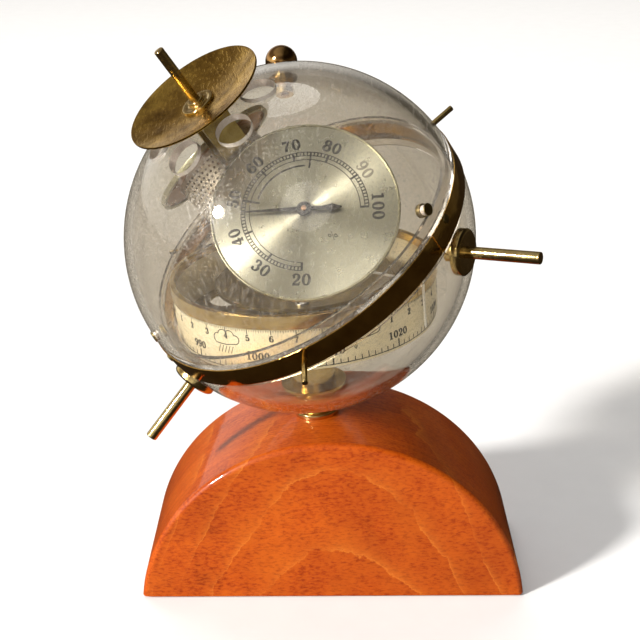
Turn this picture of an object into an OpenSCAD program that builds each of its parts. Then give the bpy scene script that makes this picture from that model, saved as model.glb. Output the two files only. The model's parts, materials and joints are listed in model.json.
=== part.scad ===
// Desk weather station: a clear globe on a leaning post over an arched wood block.
// The globe holds a drum barometer below and two round dial instruments above.
// Frames: the world frame has its origin under the middle of the block, +Z up, front at -Y.

/* [Block] */
// Radius of the block's curved top
arc_r = 69.5; // [66:0.5:74]
// Height of the block, felt included
base_h = 62.5; // [58:0.5:66]
// Depth of the block, front to back
base_d = 54; // [44:1:64]
// Radius of the eased front and back edges
ease_r = 2.2; // [1:0.1:4]
// Thickness of the felt under the block
felt_t = 0.8; // [0.5:0.1:1.5]
// How far the felt stays inside the block's outline
felt_inset = 2; // [1:0.5:4]

/* [Post] */
// Lean of the post from the vertical, to the left
lean = 4.3; // [0:0.1:6]
// Height of the brass foot between block and globe
foot_h = 6; // [5:0.5:8]
// Radius of the foot's flange
foot_r = 8; // [7:0.5:10]
// Radius of the foot's collar
collar_r = 5.5; // [4.5:0.5:6]
// Diameter of the stud that carries the globe
stud_d = 5; // [4:0.5:6]

/* [Globe] */
// Outer radius of the globe
globe_r = 60; // [59.5:0.1:60.5]
// Wall of the clear shells
shell_t = 2.8; // [2.4:0.1:3]
// Tilt of the band's axis from the post
tilt = 31; // [28:0.5:34]
// Heading of the tilt about the post
tilt_turn = -57; // [-90:1:90]
// Turn of the dome's fittings about the tilted axis
clock = -4; // [-20:1:20]
// Top edge of the band above the globe's middle
band_top = 2.5; // [2:0.1:3]
// Bottom edge of the band below the globe's middle
band_low = 5.1; // [4:0.1:6]
// How far the band stands proud of the globe
band_proud = 0.3; // [0.1:0.1:0.6]
// Thickness of the band
band_t = 1; // [0.8:0.1:1.4]

/* [Vents] */
// Number of vent holes round the pole
vent_count = 6; // [4:1:8]
// Radius of a vent hole
vent_r = 5.9; // [4:0.1:6.2]
// Angle between a vent hole and the pole
vent_angle = 18; // [17:0.5:20]

/* [Aerials] */
// Number of flanged rods, and of short pins
aerial_count = 3; // [3:1:3]
// Right rod's heading about the tilted axis
rod_lon_1 = 29; // [20:0.5:40]
// Back rod's heading
rod_lon_2 = 147; // [140:0.5:155]
// Left rod's heading
rod_lon_3 = 263; // [258:0.5:272]
// Right rod's height about the tilted axis, in degrees
rod_lat_1 = -13; // [-20:0.5:-13]
// Back rod's height
rod_lat_2 = -14; // [-20:0.5:-13]
// Left rod's height
rod_lat_3 = -15.5; // [-20:0.5:-13]
// Free length of a flanged rod
rod_l = 24.5; // [20:0.5:28]
// Diameter of a flanged rod
rod_d = 4; // [3:0.5:5]
// Radius of a rod's flange
flange_r = 7.7; // [6:0.1:9]
// Thickness of a rod's flange
flange_t = 2.6; // [2:0.1:3.5]
// First short pin's heading
pin_lon = -33; // [-45:1:-25]
// Free length of a short pin
pin_l = 11; // [8:0.5:13]
// Diameter of a short pin
pin_d = 2; // [1.5:0.1:2.5]

/* [Dish] */
// Radius of the dish's rim
dish_r = 23.6; // [20:0.1:26]
// Depth of the dish
dish_depth = 3.6; // [3:0.1:4.5]
// Sheet of the dish
dish_t = 0.8; // [0.6:0.1:1.2]
// Height of the dish's floor above the globe
dish_lift = 2.2; // [2:0.1:4]
// Free length of the dish's rod above its floor
dish_rod_l = 22; // [18:0.5:28]
// Diameter of the dish's rod
dish_rod_d = 3.2; // [2.6:0.1:4]
// Diameter of the ball knob
ball_d = 11.4; // [9:0.2:14]
// Ball knob's heading about the tilted axis, in degrees
ball_lon = 131.5; // [120:0.5:150]
// Ball knob's height about the tilted axis, in degrees
ball_lat = 33.5; // [20:0.5:36]

/* [Dial instruments] */
// Radius of the humidity dial
dial_r = 28.9; // [26:0.1:29.2]
// Radius of the temperature dial
small_r = 24.5; // [23:0.1:25]
// Tilt of a dial from the pole
dial_tilt = 37; // [35:0.5:39]
// Distance of the humidity dial's centre from the tilted axis
dial_out = 29.9; // [29:0.1:31]
// Height of the humidity dial's centre along the tilted axis
dial_up = 24.9; // [24:0.1:26]
// How much farther out the temperature dial stands on its own side
small_lift = 5.5; // [4:0.1:6]
// Radius of the case behind the humidity dial
can_r = 19; // [17:0.5:20]
// Radius of the case behind the temperature dial
small_can_r = 17; // [16:0.5:18]
// Depth of the case behind the humidity dial
can_h = 12; // [10:0.5:12]
// Reach of the humidity needle
needle_l = 19.5; // [17:0.5:22]
// Reach of the temperature needle
small_needle_l = 16.5; // [15:0.5:18]
// Degrees of needle travel for one scale unit
scale_step = 3.3333; // [3:0.0001:3.4]
// Humidity shown, in per cent
humidity = 46; // [20:1:100]
// Temperature shown, in degrees Celsius
temperature = 23; // [-20:1:60]

/* [Drum barometer] */
// Outer radius of the scale drum
drum_r = 46; // [44:0.5:46]
// Height of the scale drum
drum_h = 18; // [16:0.5:18]
// Top of the drum below the globe's middle
drum_top = 9.7; // [9.5:0.1:11]
// Wall of the drum
drum_t = 0.8; // [0.6:0.1:1.2]
// Height of the brass ring round the drum's top
ring_h = 4; // [3:0.5:5]
// Pressure shown, in hectopascals
pressure = 1025; // [960:1:1060]

/* [Hidden] */
$fn = 96;

// Places along the post, measured from the centre of the block's arch
arc_z = base_h - arc_r;
globe_s = arc_r + foot_h + globe_r;
inner_r = globe_r - shell_t;
counterbore_s = 20;
counterbore_r = 11;
// Clearance of a hole round a screw or rod in the same body
slack = 0.1;
// Clearance between the turning globe and what it turns on
turn_gap = 0.3;
// Running clearance of the stud in the bowl, and of the small pivots
turn_fit = 0.08;
pivot_fit = 0.05;
// Where the inside of the bowl meets the stud
nut_s = arc_r + foot_h + shell_t;

// Dish places, measured along the tilted axis from the globe's centre
dish_floor = globe_r + dish_lift;
dish_ball_r = (pow(dish_r, 2) + pow(dish_depth, 2)) / (2 * dish_depth);
dish_under = dish_floor - dish_t;

// Instrument places, measured in the dial's own frame, front of the dial at 0
dial_t = 1;
bezel_w = 0.7;
can_t = 0.6;
can_back = dial_t + can_h;
small_back = can_back + small_lift;
hub_r = 2.4;
arbor_r = 0.6;
needle_z = 1.2;
needle_t = 0.4;
coil_turns = 5;
coil_r = 14;
coil_strip = 0.5;
coil_w = 6;
// Heading of the band's first rivet
rivet_lon = 29.5;
// Height of the apex where the planes of the two cases' backs meet
apex_up = (dial_up * cos(dial_tilt) + dial_out * sin(dial_tilt) - can_back) / cos(dial_tilt);
bracket_w = 10;
bracket_t = 1.2;
wing_l = 26;

// Barometer places, measured along the post from the globe's centre
drum_low = -drum_top - drum_h;
floor_t = 1;
plate_z = -14.4;
plate_t = 1.2;
plate_r = 31;
pillar_r = 1.8;
pillar_at = 27;
capsule_r = 17;
capsule_h = 7;
sector_at = [-19, 4];
sector_r = 16.5;
// Half width of the sector, and how far its middle stands off the pinion at rest
sector_half = 26;
sector_offset = -7;
pinion_r = 2.6;
pointer_z = -8.5;
pointer_t = 0.5;
pointer_r = drum_r + 1.5;
// Drum scale: degrees for one hectopascal, and where 1010 stands from the front
hpa_step = 2.95;
hpa_zero = 11.4;
pointer_turn = hpa_zero + (pressure - 1010) * hpa_step - 90;

// Frame of the post: origin at the centre of the arch, Z up the post
module in_post() {
    translate([0, 0, arc_z])
        rotate([0, -lean, 0])
            children();
}

// Frame of the globe: origin at its centre, Z up the post
module in_globe() {
    in_post()
        translate([0, 0, globe_s])
            children();
}

// Frame of the band and dome: origin at the globe's centre, Z through the pole
module in_tilt() {
    in_globe()
        rotate([0, 0, tilt_turn])
            rotate([tilt, 0, 0])
                rotate([0, 0, clock])
                    children();
}

// Z outwards along a radius of the globe, at a heading and a height in degrees
module along(lon, lat, r = 0) {
    rotate([0, 0, lon])
        rotate([0, 90 - lat, 0])
            translate([0, 0, r])
                children();
}

// Frame of a dial: origin at its centre, Z out of its face, Y towards the pole
module in_dial(lon) {
    in_tilt()
        rotate([0, 0, lon])
            translate([dial_out, 0, dial_up])
                rotate([0, dial_tilt, 0])
                    rotate([0, 0, 90])
                        children();
}

// Frame of the temperature dial, on the other side of the tilted axis
module in_small_dial() {
    in_dial(180)
        translate([0, 0, small_lift])
            children();
}

// Tube or washer from z = 0 up
module tube(r_out, r_in, h) {
    difference() {
        cylinder(r = r_out, h = h);
        translate([0, 0, -1])
            cylinder(r = r_in, h = h + 2);
    }
}

// ---- Block and post ----

// Half section of the arch with eased edges, turned about the Y axis later
module arch_section() {
    half = base_d / 2;
    translate([0, -half])
        square([arc_r - ease_r, base_d]);
    translate([0, -half + ease_r])
        square([arc_r, base_d - 2 * ease_r]);
    for (side = [-1, 1])
        translate([arc_r - ease_r, side * (half - ease_r)])
            circle(r = ease_r, $fn = 48);
}

module base_block() {
    color("sienna")
        difference() {
            translate([0, 0, arc_z])
                rotate([90, 0, 0])
                    rotate_extrude($fn = 180)
                        arch_section();
            translate([-100, -100, -200 + felt_t])
                cube([200, 200, 200]);
            in_post() {
                cylinder(r = stud_d / 2 + slack, h = arc_r + 5);
                cylinder(r = counterbore_r, h = counterbore_s);
            }
        }
}

module felt_pad() {
    half_w = sqrt(pow(arc_r, 2) - pow(arc_z, 2)) - felt_inset;
    half_d = base_d / 2 - felt_inset;
    color("darkgreen")
        translate([-half_w, -half_d, 0])
            cube([2 * half_w, 2 * half_d, felt_t]);
}

module stud() {
    head_r = 4.5;
    head_h = 3.5;
    color("silver")
        in_post()
            difference() {
                union() {
                    translate([0, 0, counterbore_s - 1.6 - head_h])
                        cylinder(r = head_r, h = head_h);
                    translate([0, 0, counterbore_s - 2])
                        cylinder(r = stud_d / 2, h = nut_s + 6.5 - counterbore_s + 2);
                }
                translate([-head_r, -0.6, counterbore_s - 3.1 - head_h])
                    cube([2 * head_r, 1.2, 3]);
            }
}

module stud_washer() {
    color("silver")
        in_post()
            translate([0, 0, counterbore_s - 1.6])
                tube(9.5, stud_d / 2 + slack, 1.6);
}

module foot_flange() {
    color("goldenrod")
        in_post()
            difference() {
                translate([0, 0, arc_r - 1])
                    tube(foot_r, stud_d / 2 + slack, 2.8);
                rotate([90, 0, 0])
                    cylinder(r = arc_r, h = base_d, center = true, $fn = 180);
            }
}

module foot_collar() {
    color("goldenrod")
        in_post()
            difference() {
                translate([0, 0, arc_r + 1.8])
                    tube(collar_r, stud_d / 2 + slack, foot_h);
                translate([0, 0, globe_s])
                    sphere(r = globe_r + turn_gap);
            }
}

module globe_washer() {
    color("silver")
        in_post()
            translate([0, 0, nut_s + turn_gap + 0.25])
                tube(5, stud_d / 2 + slack, 0.8);
}

module globe_nut() {
    color("silver")
        in_post()
            translate([0, 0, nut_s + turn_gap + 1.05])
                difference() {
                    cylinder(r = 4.6, h = 4, $fn = 6);
                    translate([0, 0, -1])
                        cylinder(r = stud_d / 2 + slack, h = 6);
                }
}

// ---- Shells and band ----

// A shell of the globe above a plane across the tilted axis
module shell_above(z) {
    difference() {
        sphere(r = globe_r, $fn = 180);
        sphere(r = inner_r, $fn = 180);
        translate([-100, -100, z - 200])
            cube([200, 200, 200]);
    }
}

module bowl() {
    color([0.8, 0.75, 0.7, 0.3])
        difference() {
            in_tilt()
                mirror([0, 0, 1])
                    shell_above(band_low);
            in_post()
                translate([0, 0, arc_r])
                    cylinder(r = stud_d / 2 + turn_fit, h = foot_h + 10);
            in_tilt()
                for (k = [1:aerial_count])
                    along(rod_lon(k), rod_lat(k), inner_r - 5)
                        cylinder(r = 1.5 + slack, h = 15);
        }
}

module dome() {
    color([0.8, 0.77, 0.75, 0.3])
        in_tilt()
            difference() {
                shell_above(band_top);
                for (k = [0:vent_count - 1])
                    along(360 / vent_count * k, 90 - vent_angle, inner_r - 10)
                        cylinder(r = vent_r, h = 20);
                translate([0, 0, inner_r - 5])
                    cylinder(r = dish_rod_d / 2 + slack, h = 15);
                along(ball_lon, ball_lat, inner_r - 5)
                    cylinder(r = 1.5 + slack, h = 15);
                dome_screw_places()
                    translate([0, 0, -5])
                        cylinder(r = 1.5 + slack, h = 15);
            }
}

// Ring behind the band that joins the two shells
module joint_ring() {
    lip = 3;
    color([0.8, 0.77, 0.75, 0.5])
        in_tilt()
            rotate_extrude($fn = 180)
                difference() {
                    translate([inner_r - 1.9, -band_low - lip])
                        square([4.5 - band_t, band_low + band_top + 2 * lip]);
                    translate([inner_r - 0.7, band_top])
                        square([10, 10]);
                    translate([inner_r - 1, -band_low - 10])
                        square([10, 10]);
                    translate([globe_r + band_proud - band_t, -10])
                        square([10, 20]);
                }
}

module band() {
    color("gold")
        in_tilt()
            difference() {
                translate([0, 0, -band_low])
                    tube(globe_r + band_proud, globe_r + band_proud - band_t, band_low + band_top);
                rotate([0, 0, 21])
                    translate([globe_r - 5, -0.2, -band_low - 1])
                        cube([10, 0.4, band_low + band_top + 2]);
                for (k = [0:aerial_count - 1])
                    along(pin_lon + 360 / aerial_count * k, -1.2, globe_r - 5)
                        cylinder(r = pin_d / 2 + slack / 2, h = 10);
            }
}

module band_pins() {
    color("gold")
        in_tilt()
            for (k = [0:aerial_count - 1])
                along(pin_lon + 360 / aerial_count * k, -1.2, globe_r - 0.6)
                    cylinder(r = pin_d / 2, h = pin_l + 0.6);
}

module band_rivets() {
    // Keeps the rivet's flat foot clear of the band's curve
    seat = 0.05;
    color("goldenrod")
        in_tilt()
            for (k = [0:aerial_count - 1])
                along(rivet_lon + 360 / aerial_count * k, 0.8, globe_r + band_proud + seat)
                    intersection() {
                        translate([0, 0, -1.3])
                            sphere(r = 1.8, $fn = 48);
                        cylinder(r = 1.5, h = 1);
                    }
}

// Three screws low on the dome
module dome_screw_places() {
    for (k = [0:2])
        along(26 + 120 * k, 8.6, inner_r)
            children();
}

module dome_screws() {
    color("darkgoldenrod")
        in_tilt()
            dome_screw_places() {
                translate([0, 0, -1.5])
                    cylinder(r = 2.2, h = 1.4);
                translate([0, 0, -0.5])
                    cylinder(r = 1.5, h = shell_t + 0.7);
                translate([0, 0, shell_t + 0.05])
                    cylinder(r = 2, h = 0.5);
            }
}

// ---- Aerials ----

// Frame of one flanged rod, on the globe's surface
function rod_lon(k) = [rod_lon_1, rod_lon_2, rod_lon_3][k - 1];
function rod_lat(k) = [rod_lat_1, rod_lat_2, rod_lat_3][k - 1];
module in_aerial(k) {
    in_tilt()
        along(rod_lon(k), rod_lat(k), globe_r)
            children();
}

module aerial_rod(k) {
    color("gold")
        in_aerial(k) {
            translate([0, 0, -shell_t - 4])
                cylinder(r = 1.5, h = shell_t + flange_t + 4.5);
            translate([0, 0, flange_t])
                cylinder(r = rod_d / 2, h = rod_l);
        }
}

module aerial_flange(k) {
    color("goldenrod")
        difference() {
            in_aerial(k)
                translate([0, 0, -0.6])
                    tube(flange_r, 1.5 + slack, flange_t + 0.6);
            in_globe()
                sphere(r = globe_r, $fn = 180);
        }
}

module aerial_rod_1() { aerial_rod(1); }
module aerial_rod_2() { aerial_rod(2); }
module aerial_rod_3() { aerial_rod(3); }
module aerial_flange_1() { aerial_flange(1); }
module aerial_flange_2() { aerial_flange(2); }
module aerial_flange_3() { aerial_flange(3); }

module aerial_nuts() {
    color("goldenrod")
        for (k = [1:aerial_count])
            in_aerial(k)
                translate([0, 0, -shell_t - 2.9])
                    tube(3.4, 1.5 + slack, 2.7);
}

// ---- Dish and knob on the dome ----

module dish() {
    color("goldenrod")
        in_tilt()
            difference() {
                intersection() {
                    cylinder(r = dish_r, h = dish_floor + dish_depth);
                    translate([0, 0, dish_floor + dish_ball_r])
                        difference() {
                            sphere(r = dish_ball_r + dish_t, $fn = 180);
                            sphere(r = dish_ball_r, $fn = 180);
                        }
                }
                cylinder(r = dish_rod_d / 2 + slack, h = dish_floor + 10);
            }
}

module dish_rod() {
    color("gold")
        in_tilt()
            translate([0, 0, inner_r - 6])
                cylinder(r = dish_rod_d / 2, h = dish_floor + dish_rod_l - inner_r + 6);
}

module dish_hub() {
    color("goldenrod")
        in_tilt()
            difference() {
                translate([0, 0, dish_floor])
                    union() {
                        tube(5.6, dish_rod_d / 2 + slack, 1);
                        tube(2.9, dish_rod_d / 2 + slack, 2.2);
                    }
                translate([0, 0, dish_floor + dish_ball_r])
                    difference() {
                        sphere(r = dish_ball_r + 5, $fn = 180);
                        sphere(r = dish_ball_r, $fn = 180);
                    }
            }
}

module dish_spacer() {
    color("goldenrod")
        in_tilt()
            difference() {
                translate([0, 0, globe_r - 0.5])
                    tube(4, dish_rod_d / 2 + slack, dish_under - globe_r + 1);
                sphere(r = globe_r, $fn = 180);
                translate([0, 0, dish_floor + dish_ball_r])
                    sphere(r = dish_ball_r + dish_t, $fn = 180);
            }
}

module pole_nut() {
    color("silver")
        in_tilt()
            translate([0, 0, inner_r - bracket_t - 3.6])
                difference() {
                    cylinder(r = 3.6, h = 3, $fn = 6);
                    translate([0, 0, -1])
                        cylinder(r = dish_rod_d / 2 + slack, h = 6);
                }
}

module ball_knob() {
    color("gold")
        in_tilt()
            along(ball_lon, ball_lat, globe_r) {
                translate([0, 0, 0.5 + ball_d / 2])
                    sphere(r = ball_d / 2);
                translate([0, 0, 0.15])
                    cylinder(r = 2.6, h = 2);
                translate([0, 0, -shell_t - 3.5])
                    cylinder(r = 1.5, h = shell_t + 5);
            }
}

module ball_nut() {
    color("goldenrod")
        in_tilt()
            along(ball_lon, ball_lat, inner_r - 2.9)
                tube(3.2, 1.5 + slack, 2.7);
}

// ---- Dial instruments ----

// Bent strip under the pole with two legs down to a roof that carries both cases
module instrument_bracket() {
    leg_x = 3.9;
    top_l = 12;
    top_z = inner_r - bracket_t - 0.6;
    leg_z = apex_up - (leg_x + bracket_t) * tan(dial_tilt);
    color("goldenrod")
        in_tilt()
            difference() {
                union() {
                    translate([-top_l / 2, -bracket_w / 2, top_z])
                        cube([top_l, bracket_w, bracket_t]);
                    for (side = [0, 180])
                        rotate([0, 0, side]) {
                            translate([leg_x, -bracket_w / 2, leg_z])
                                cube([bracket_t, bracket_w, top_z - leg_z + 0.1]);
                            translate([0, 0, apex_up])
                                rotate([0, dial_tilt, 0])
                                    translate([0, -bracket_w / 2, -bracket_t])
                                        cube([wing_l, bracket_w, bracket_t]);
                        }
                }
                translate([0, 0, top_z - 1])
                    cylinder(r = dish_rod_d / 2 + slack, h = bracket_t + 2);
            }
}

module dial_plate(r) {
    translate([0, 0, -dial_t])
        tube(r, arbor_r + pivot_fit, dial_t);
}

module dial_bezel(r) {
    difference() {
        translate([0, 0, -dial_t - 0.6])
            tube(r + bezel_w, r - 0.9, dial_t + 0.9);
        translate([0, 0, -dial_t])
            cylinder(r = r, h = 3);
    }
}

// Cup from the dial's back down to -back, with vent holes in its end
module instrument_case(r, back) {
    difference() {
        translate([0, 0, -back])
            cylinder(r = r, h = back - dial_t);
        translate([0, 0, can_t - back])
            cylinder(r = r - can_t, h = back);
        for (k = [0:11])
            rotate([0, 0, 30 * k + 15])
                translate([r - 6, 0, -back - 1])
                    cylinder(r = 1.6, h = 3, $fn = 32);
    }
}

// Points on a spiral strip, out along one face and back along the other
function spiral_r(a) = 2.4 + (coil_r - 2.4) * a / (360 * coil_turns);
function spiral_side(w) = [
    for (k = [0:24 * coil_turns])
        let (a = 15 * k)
        (spiral_r(a) + w) * [cos(a), sin(a)]
];
function reversed(p) = [for (k = [len(p) - 1:-1:0]) p[k]];

module instrument_coil(back) {
    translate([0, 0, 3 - back])
        linear_extrude(height = coil_w)
            polygon(concat(spiral_side(0), reversed(spiral_side(coil_strip))));
}

// Needle with a slim blade, a round hub and a tail that ends in a lozenge
module dial_needle(reach, back) {
    tail = 0.6 * reach;
    translate([0, 0, needle_z]) {
        linear_extrude(height = needle_t)
            polygon([
                [-0.7, 0], [-0.12, reach], [0.12, reach], [0.7, 0],
                [0.35, -6.5], [1.1, -tail + 3], [0, -tail], [-1.1, -tail + 3], [-0.35, -6.5]
            ]);
        cylinder(r = hub_r, h = needle_t + 0.3, $fn = 48);
    }
    translate([0, 0, can_t + 0.6 - back])
        cylinder(r = arbor_r, h = needle_z + needle_t + back - can_t + 0.2, $fn = 32);
}

module hygrometer_dial() { color("khaki") in_dial(0) dial_plate(dial_r); }
module hygrometer_bezel() { color("darkkhaki") in_dial(0) dial_bezel(dial_r); }
module hygrometer_case() { color("tan") in_dial(0) instrument_case(can_r, can_back); }
module hygrometer_coil() { color("peru") in_dial(0) instrument_coil(can_back); }
module hygrometer_needle() {
    color("black")
        in_dial(0)
            rotate([0, 0, -(humidity - 60) * scale_step])
                dial_needle(needle_l, can_back);
}

module thermometer_dial() { color("khaki") in_small_dial() dial_plate(small_r); }
module thermometer_bezel() { color("darkkhaki") in_small_dial() dial_bezel(small_r); }
module thermometer_case() { color("tan") in_small_dial() instrument_case(small_can_r, small_back); }
module thermometer_coil() { color("peru") in_small_dial() instrument_coil(small_back); }
module thermometer_needle() {
    color("black")
        in_small_dial()
            rotate([0, 0, -(temperature - 20) * scale_step])
                dial_needle(small_needle_l, small_back);
}

// ---- Drum barometer ----

// Hollow column that stands in the bowl round the nut and carries the drum
module pedestal() {
    color("goldenrod")
        in_globe()
            intersection() {
                union() {
                    translate([0, 0, -inner_r])
                        tube(8, 6.3, inner_r + drum_low);
                    translate([0, 0, -inner_r])
                        tube(12, 6.3, 2.6);
                }
                sphere(r = inner_r - 0.05, $fn = 180);
            }
}

module drum() {
    color("wheat")
        in_globe()
            translate([0, 0, drum_low])
                tube(drum_r, drum_r - drum_t, drum_h);
}

module drum_ring() {
    lip = 0.5;
    color("gold")
        in_globe()
            translate([0, 0, -drum_top - ring_h])
                difference() {
                    tube(drum_r + lip, drum_r - drum_t - lip, ring_h + lip);
                    translate([0, 0, -1])
                        cylinder(r = drum_r, h = ring_h + 1);
                }
}

module drum_floor() {
    color("darkgoldenrod")
        in_globe()
            translate([0, 0, drum_low])
                difference() {
                    cylinder(r = drum_r - drum_t - 0.05, h = floor_t);
                    for (k = [0:5])
                        rotate([0, 0, 60 * k + 30])
                            translate([34, 0, -1])
                                cylinder(r = 7, h = 3);
                }
}

module movement_pillars() {
    color("gold")
        in_globe()
            for (k = [0:2])
                rotate([0, 0, 120 * k + 30])
                    translate([pillar_at, 0, drum_low + floor_t])
                        cylinder(r = pillar_r, h = plate_z - drum_low - floor_t);
}

module movement_plate() {
    color("darkkhaki")
        in_globe()
            translate([0, 0, plate_z])
                tube(plate_r, 1 + pivot_fit, plate_t);
}

// Corrugated vacuum capsule on a short foot
module pressure_capsule() {
    ridges = 4;
    color("silver")
        in_globe()
            translate([0, 0, drum_low + floor_t]) {
                cylinder(r = 3, h = 1);
                translate([0, 0, 1])
                    cylinder(r = capsule_r, h = capsule_h - 2);
                for (k = [1:ridges])
                    translate([0, 0, capsule_h - 1])
                        rotate_extrude()
                            translate([capsule_r / (ridges + 1) * k, 0])
                                circle(r = 0.8, $fn = 24);
                translate([0, 0, capsule_h - 1.5])
                    cylinder(r = 2, h = 3);
            }
}

// Leaf spring that arches over the capsule and pulls its post up
module capsule_spring() {
    foot_z = drum_low + floor_t;
    top_z = foot_z + capsule_h + 1.5;
    color("slategray")
        in_globe()
            rotate([0, 0, 90]) {
                translate([-21, -5, top_z])
                    cube([42, 10, 1]);
                for (side = [-1, 1])
                    translate([side * 20.5 - 0.5, -5, foot_z])
                        cube([1, 10, top_z - foot_z + 0.5]);
            }
}

// Lever with a curved rim that turns the pointer's pinion
module sector_lever() {
    wedge = 30;
    color("gold")
        in_globe()
            translate([sector_at[0], sector_at[1], plate_z + plate_t + 0.6])
                rotate([0, 0, atan2(-sector_at[1], -sector_at[0]) + sector_offset])
                    difference() {
                        union() {
                            intersection() {
                                tube(sector_r, sector_r - 2.2, 1);
                                linear_extrude(height = 1)
                                    polygon([
                                        [0, 0],
                                        [wedge, -wedge * tan(sector_half)],
                                        [wedge, wedge * tan(sector_half)]
                                    ]);
                            }
                            translate([0, -1.2, 0])
                                cube([sector_r - 1, 2.4, 1]);
                            cylinder(r = 2.8, h = 1);
                        }
                        translate([0, 0, -1])
                            cylinder(r = 1 + pivot_fit, h = 3, $fn = 48);
                    }
}

module sector_pivot() {
    color("silver")
        in_globe()
            translate([sector_at[0], sector_at[1], plate_z + plate_t]) {
                cylinder(r = 2, h = 0.3);
                cylinder(r = 1, h = 2.6, $fn = 48);
            }
}

// Bar across the middle that holds the top of the pointer's arbor
module pointer_bridge() {
    bar_z = plate_z + plate_t;
    color("silver")
        in_globe()
            rotate([0, 0, 62]) {
                difference() {
                    translate([-13, -2.2, bar_z + 2.5])
                        cube([26, 4.4, 0.9]);
                    translate([0, 0, bar_z])
                        cylinder(r = 1 + pivot_fit, h = 6, $fn = 48);
                }
                for (side = [-1, 1])
                    translate([side * 11.5, 0, bar_z])
                        cylinder(r = 1.5, h = 2.5);
            }
}

module pointer_arbor() {
    color("silver")
        in_globe() {
            translate([0, 0, plate_z - 1])
                cylinder(r = 1, h = pointer_z - plate_z + 1, $fn = 48);
            translate([0, 0, plate_z + plate_t + 0.4])
                cylinder(r = pinion_r, h = 1.4, $fn = 48);
        }
}

// Arm over the drum's rim with a blade that hangs down in front of the scale
module pressure_pointer() {
    color("whitesmoke")
        in_globe()
            rotate([0, 0, pointer_turn]) {
                translate([0, 0, pointer_z]) {
                    cylinder(r = 2.4, h = pointer_t + 0.3, $fn = 48);
                    linear_extrude(height = pointer_t)
                        polygon([
                            [0, -0.8], [pointer_r + 0.5, -0.4], [pointer_r + 0.5, 0.4], [0, 0.8],
                            [-13, 1.6], [-15, 0], [-13, -1.6]
                        ]);
                }
                translate([pointer_r, -0.4, drum_low + 3.2])
                    cube([0.5, 0.8, pointer_z - drum_low - 3]);
            }
}

base_block();
felt_pad();
stud();
stud_washer();
foot_flange();
foot_collar();
globe_washer();
globe_nut();
bowl();
dome();
joint_ring();
band();
band_pins();
band_rivets();
dome_screws();
aerial_rod_1();
aerial_rod_2();
aerial_rod_3();
aerial_flange_1();
aerial_flange_2();
aerial_flange_3();
aerial_nuts();
dish();
dish_rod();
dish_hub();
dish_spacer();
pole_nut();
ball_knob();
ball_nut();
instrument_bracket();
hygrometer_dial();
hygrometer_bezel();
hygrometer_case();
hygrometer_coil();
hygrometer_needle();
thermometer_dial();
thermometer_bezel();
thermometer_case();
thermometer_coil();
thermometer_needle();
pedestal();
drum();
drum_ring();
drum_floor();
movement_pillars();
movement_plate();
pressure_capsule();
capsule_spring();
sector_lever();
sector_pivot();
pointer_bridge();
pointer_arbor();
pressure_pointer();
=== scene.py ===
"""A globe weather station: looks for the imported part, in metres, in the part's own frame.

Frames: a piece is built round the axis it really has, so lathe-turned pieces stand in a frame whose
Z is that axis. The frames come from the joints and the sizes from the CAD nodes' own boxes.
"""

import json
import math

import bmesh
import bpy
from mathutils import Matrix, Vector


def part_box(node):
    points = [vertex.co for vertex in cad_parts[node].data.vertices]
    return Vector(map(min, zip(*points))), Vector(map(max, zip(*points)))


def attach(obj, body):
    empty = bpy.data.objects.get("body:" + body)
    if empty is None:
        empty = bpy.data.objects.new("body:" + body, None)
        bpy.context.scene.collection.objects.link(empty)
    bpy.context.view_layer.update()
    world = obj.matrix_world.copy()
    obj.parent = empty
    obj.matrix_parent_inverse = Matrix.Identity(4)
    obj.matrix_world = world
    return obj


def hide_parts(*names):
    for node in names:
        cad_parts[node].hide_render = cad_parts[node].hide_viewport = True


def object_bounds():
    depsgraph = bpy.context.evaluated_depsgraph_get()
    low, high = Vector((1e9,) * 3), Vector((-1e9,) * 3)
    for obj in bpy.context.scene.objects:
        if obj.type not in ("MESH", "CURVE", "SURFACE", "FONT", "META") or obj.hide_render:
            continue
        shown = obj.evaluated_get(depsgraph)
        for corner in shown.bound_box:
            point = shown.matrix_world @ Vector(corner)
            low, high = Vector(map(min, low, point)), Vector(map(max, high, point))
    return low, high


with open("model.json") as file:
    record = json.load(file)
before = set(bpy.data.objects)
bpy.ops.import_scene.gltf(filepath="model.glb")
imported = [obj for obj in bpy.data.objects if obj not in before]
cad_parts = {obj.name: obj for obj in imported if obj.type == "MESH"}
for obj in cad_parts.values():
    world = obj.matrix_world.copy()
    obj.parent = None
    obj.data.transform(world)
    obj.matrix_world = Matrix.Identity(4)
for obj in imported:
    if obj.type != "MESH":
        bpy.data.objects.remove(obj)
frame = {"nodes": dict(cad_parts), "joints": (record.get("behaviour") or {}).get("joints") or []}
cad_low, cad_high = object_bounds()

MM = 0.001
IDENTITY = Matrix.Identity(4)


# ---------------------------------------------------------------- frames and sizes


def axes(origin, z_axis, y_hint):
    """A frame with that origin and Z, and Y as near to y_hint as it can be."""
    z_axis = Vector(z_axis).normalized()
    x_axis = Vector(y_hint).cross(z_axis).normalized()
    y_axis = z_axis.cross(x_axis)
    turn = Matrix((x_axis, y_axis, z_axis)).transposed().to_4x4()
    return Matrix.Translation(origin) @ turn


JOINTS = {joint["name"]: joint for joint in frame["joints"]}


def joint_frame(name, y_hint):
    joint = JOINTS[name]
    return axes(Vector(joint["pos_m"]), joint["axis"], y_hint)


def headed(place, lon, lat):
    """A frame at the same origin whose Z points out at a heading and a height, in degrees."""
    turn = Matrix.Rotation(math.radians(lon), 4, "Z") @ Matrix.Rotation(math.radians(90 - lat), 4, "Y")
    return place @ turn


def toward(turn):
    """A unit vector in the plane at a heading in degrees."""
    return Vector((math.cos(math.radians(turn)), math.sin(math.radians(turn))))


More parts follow.
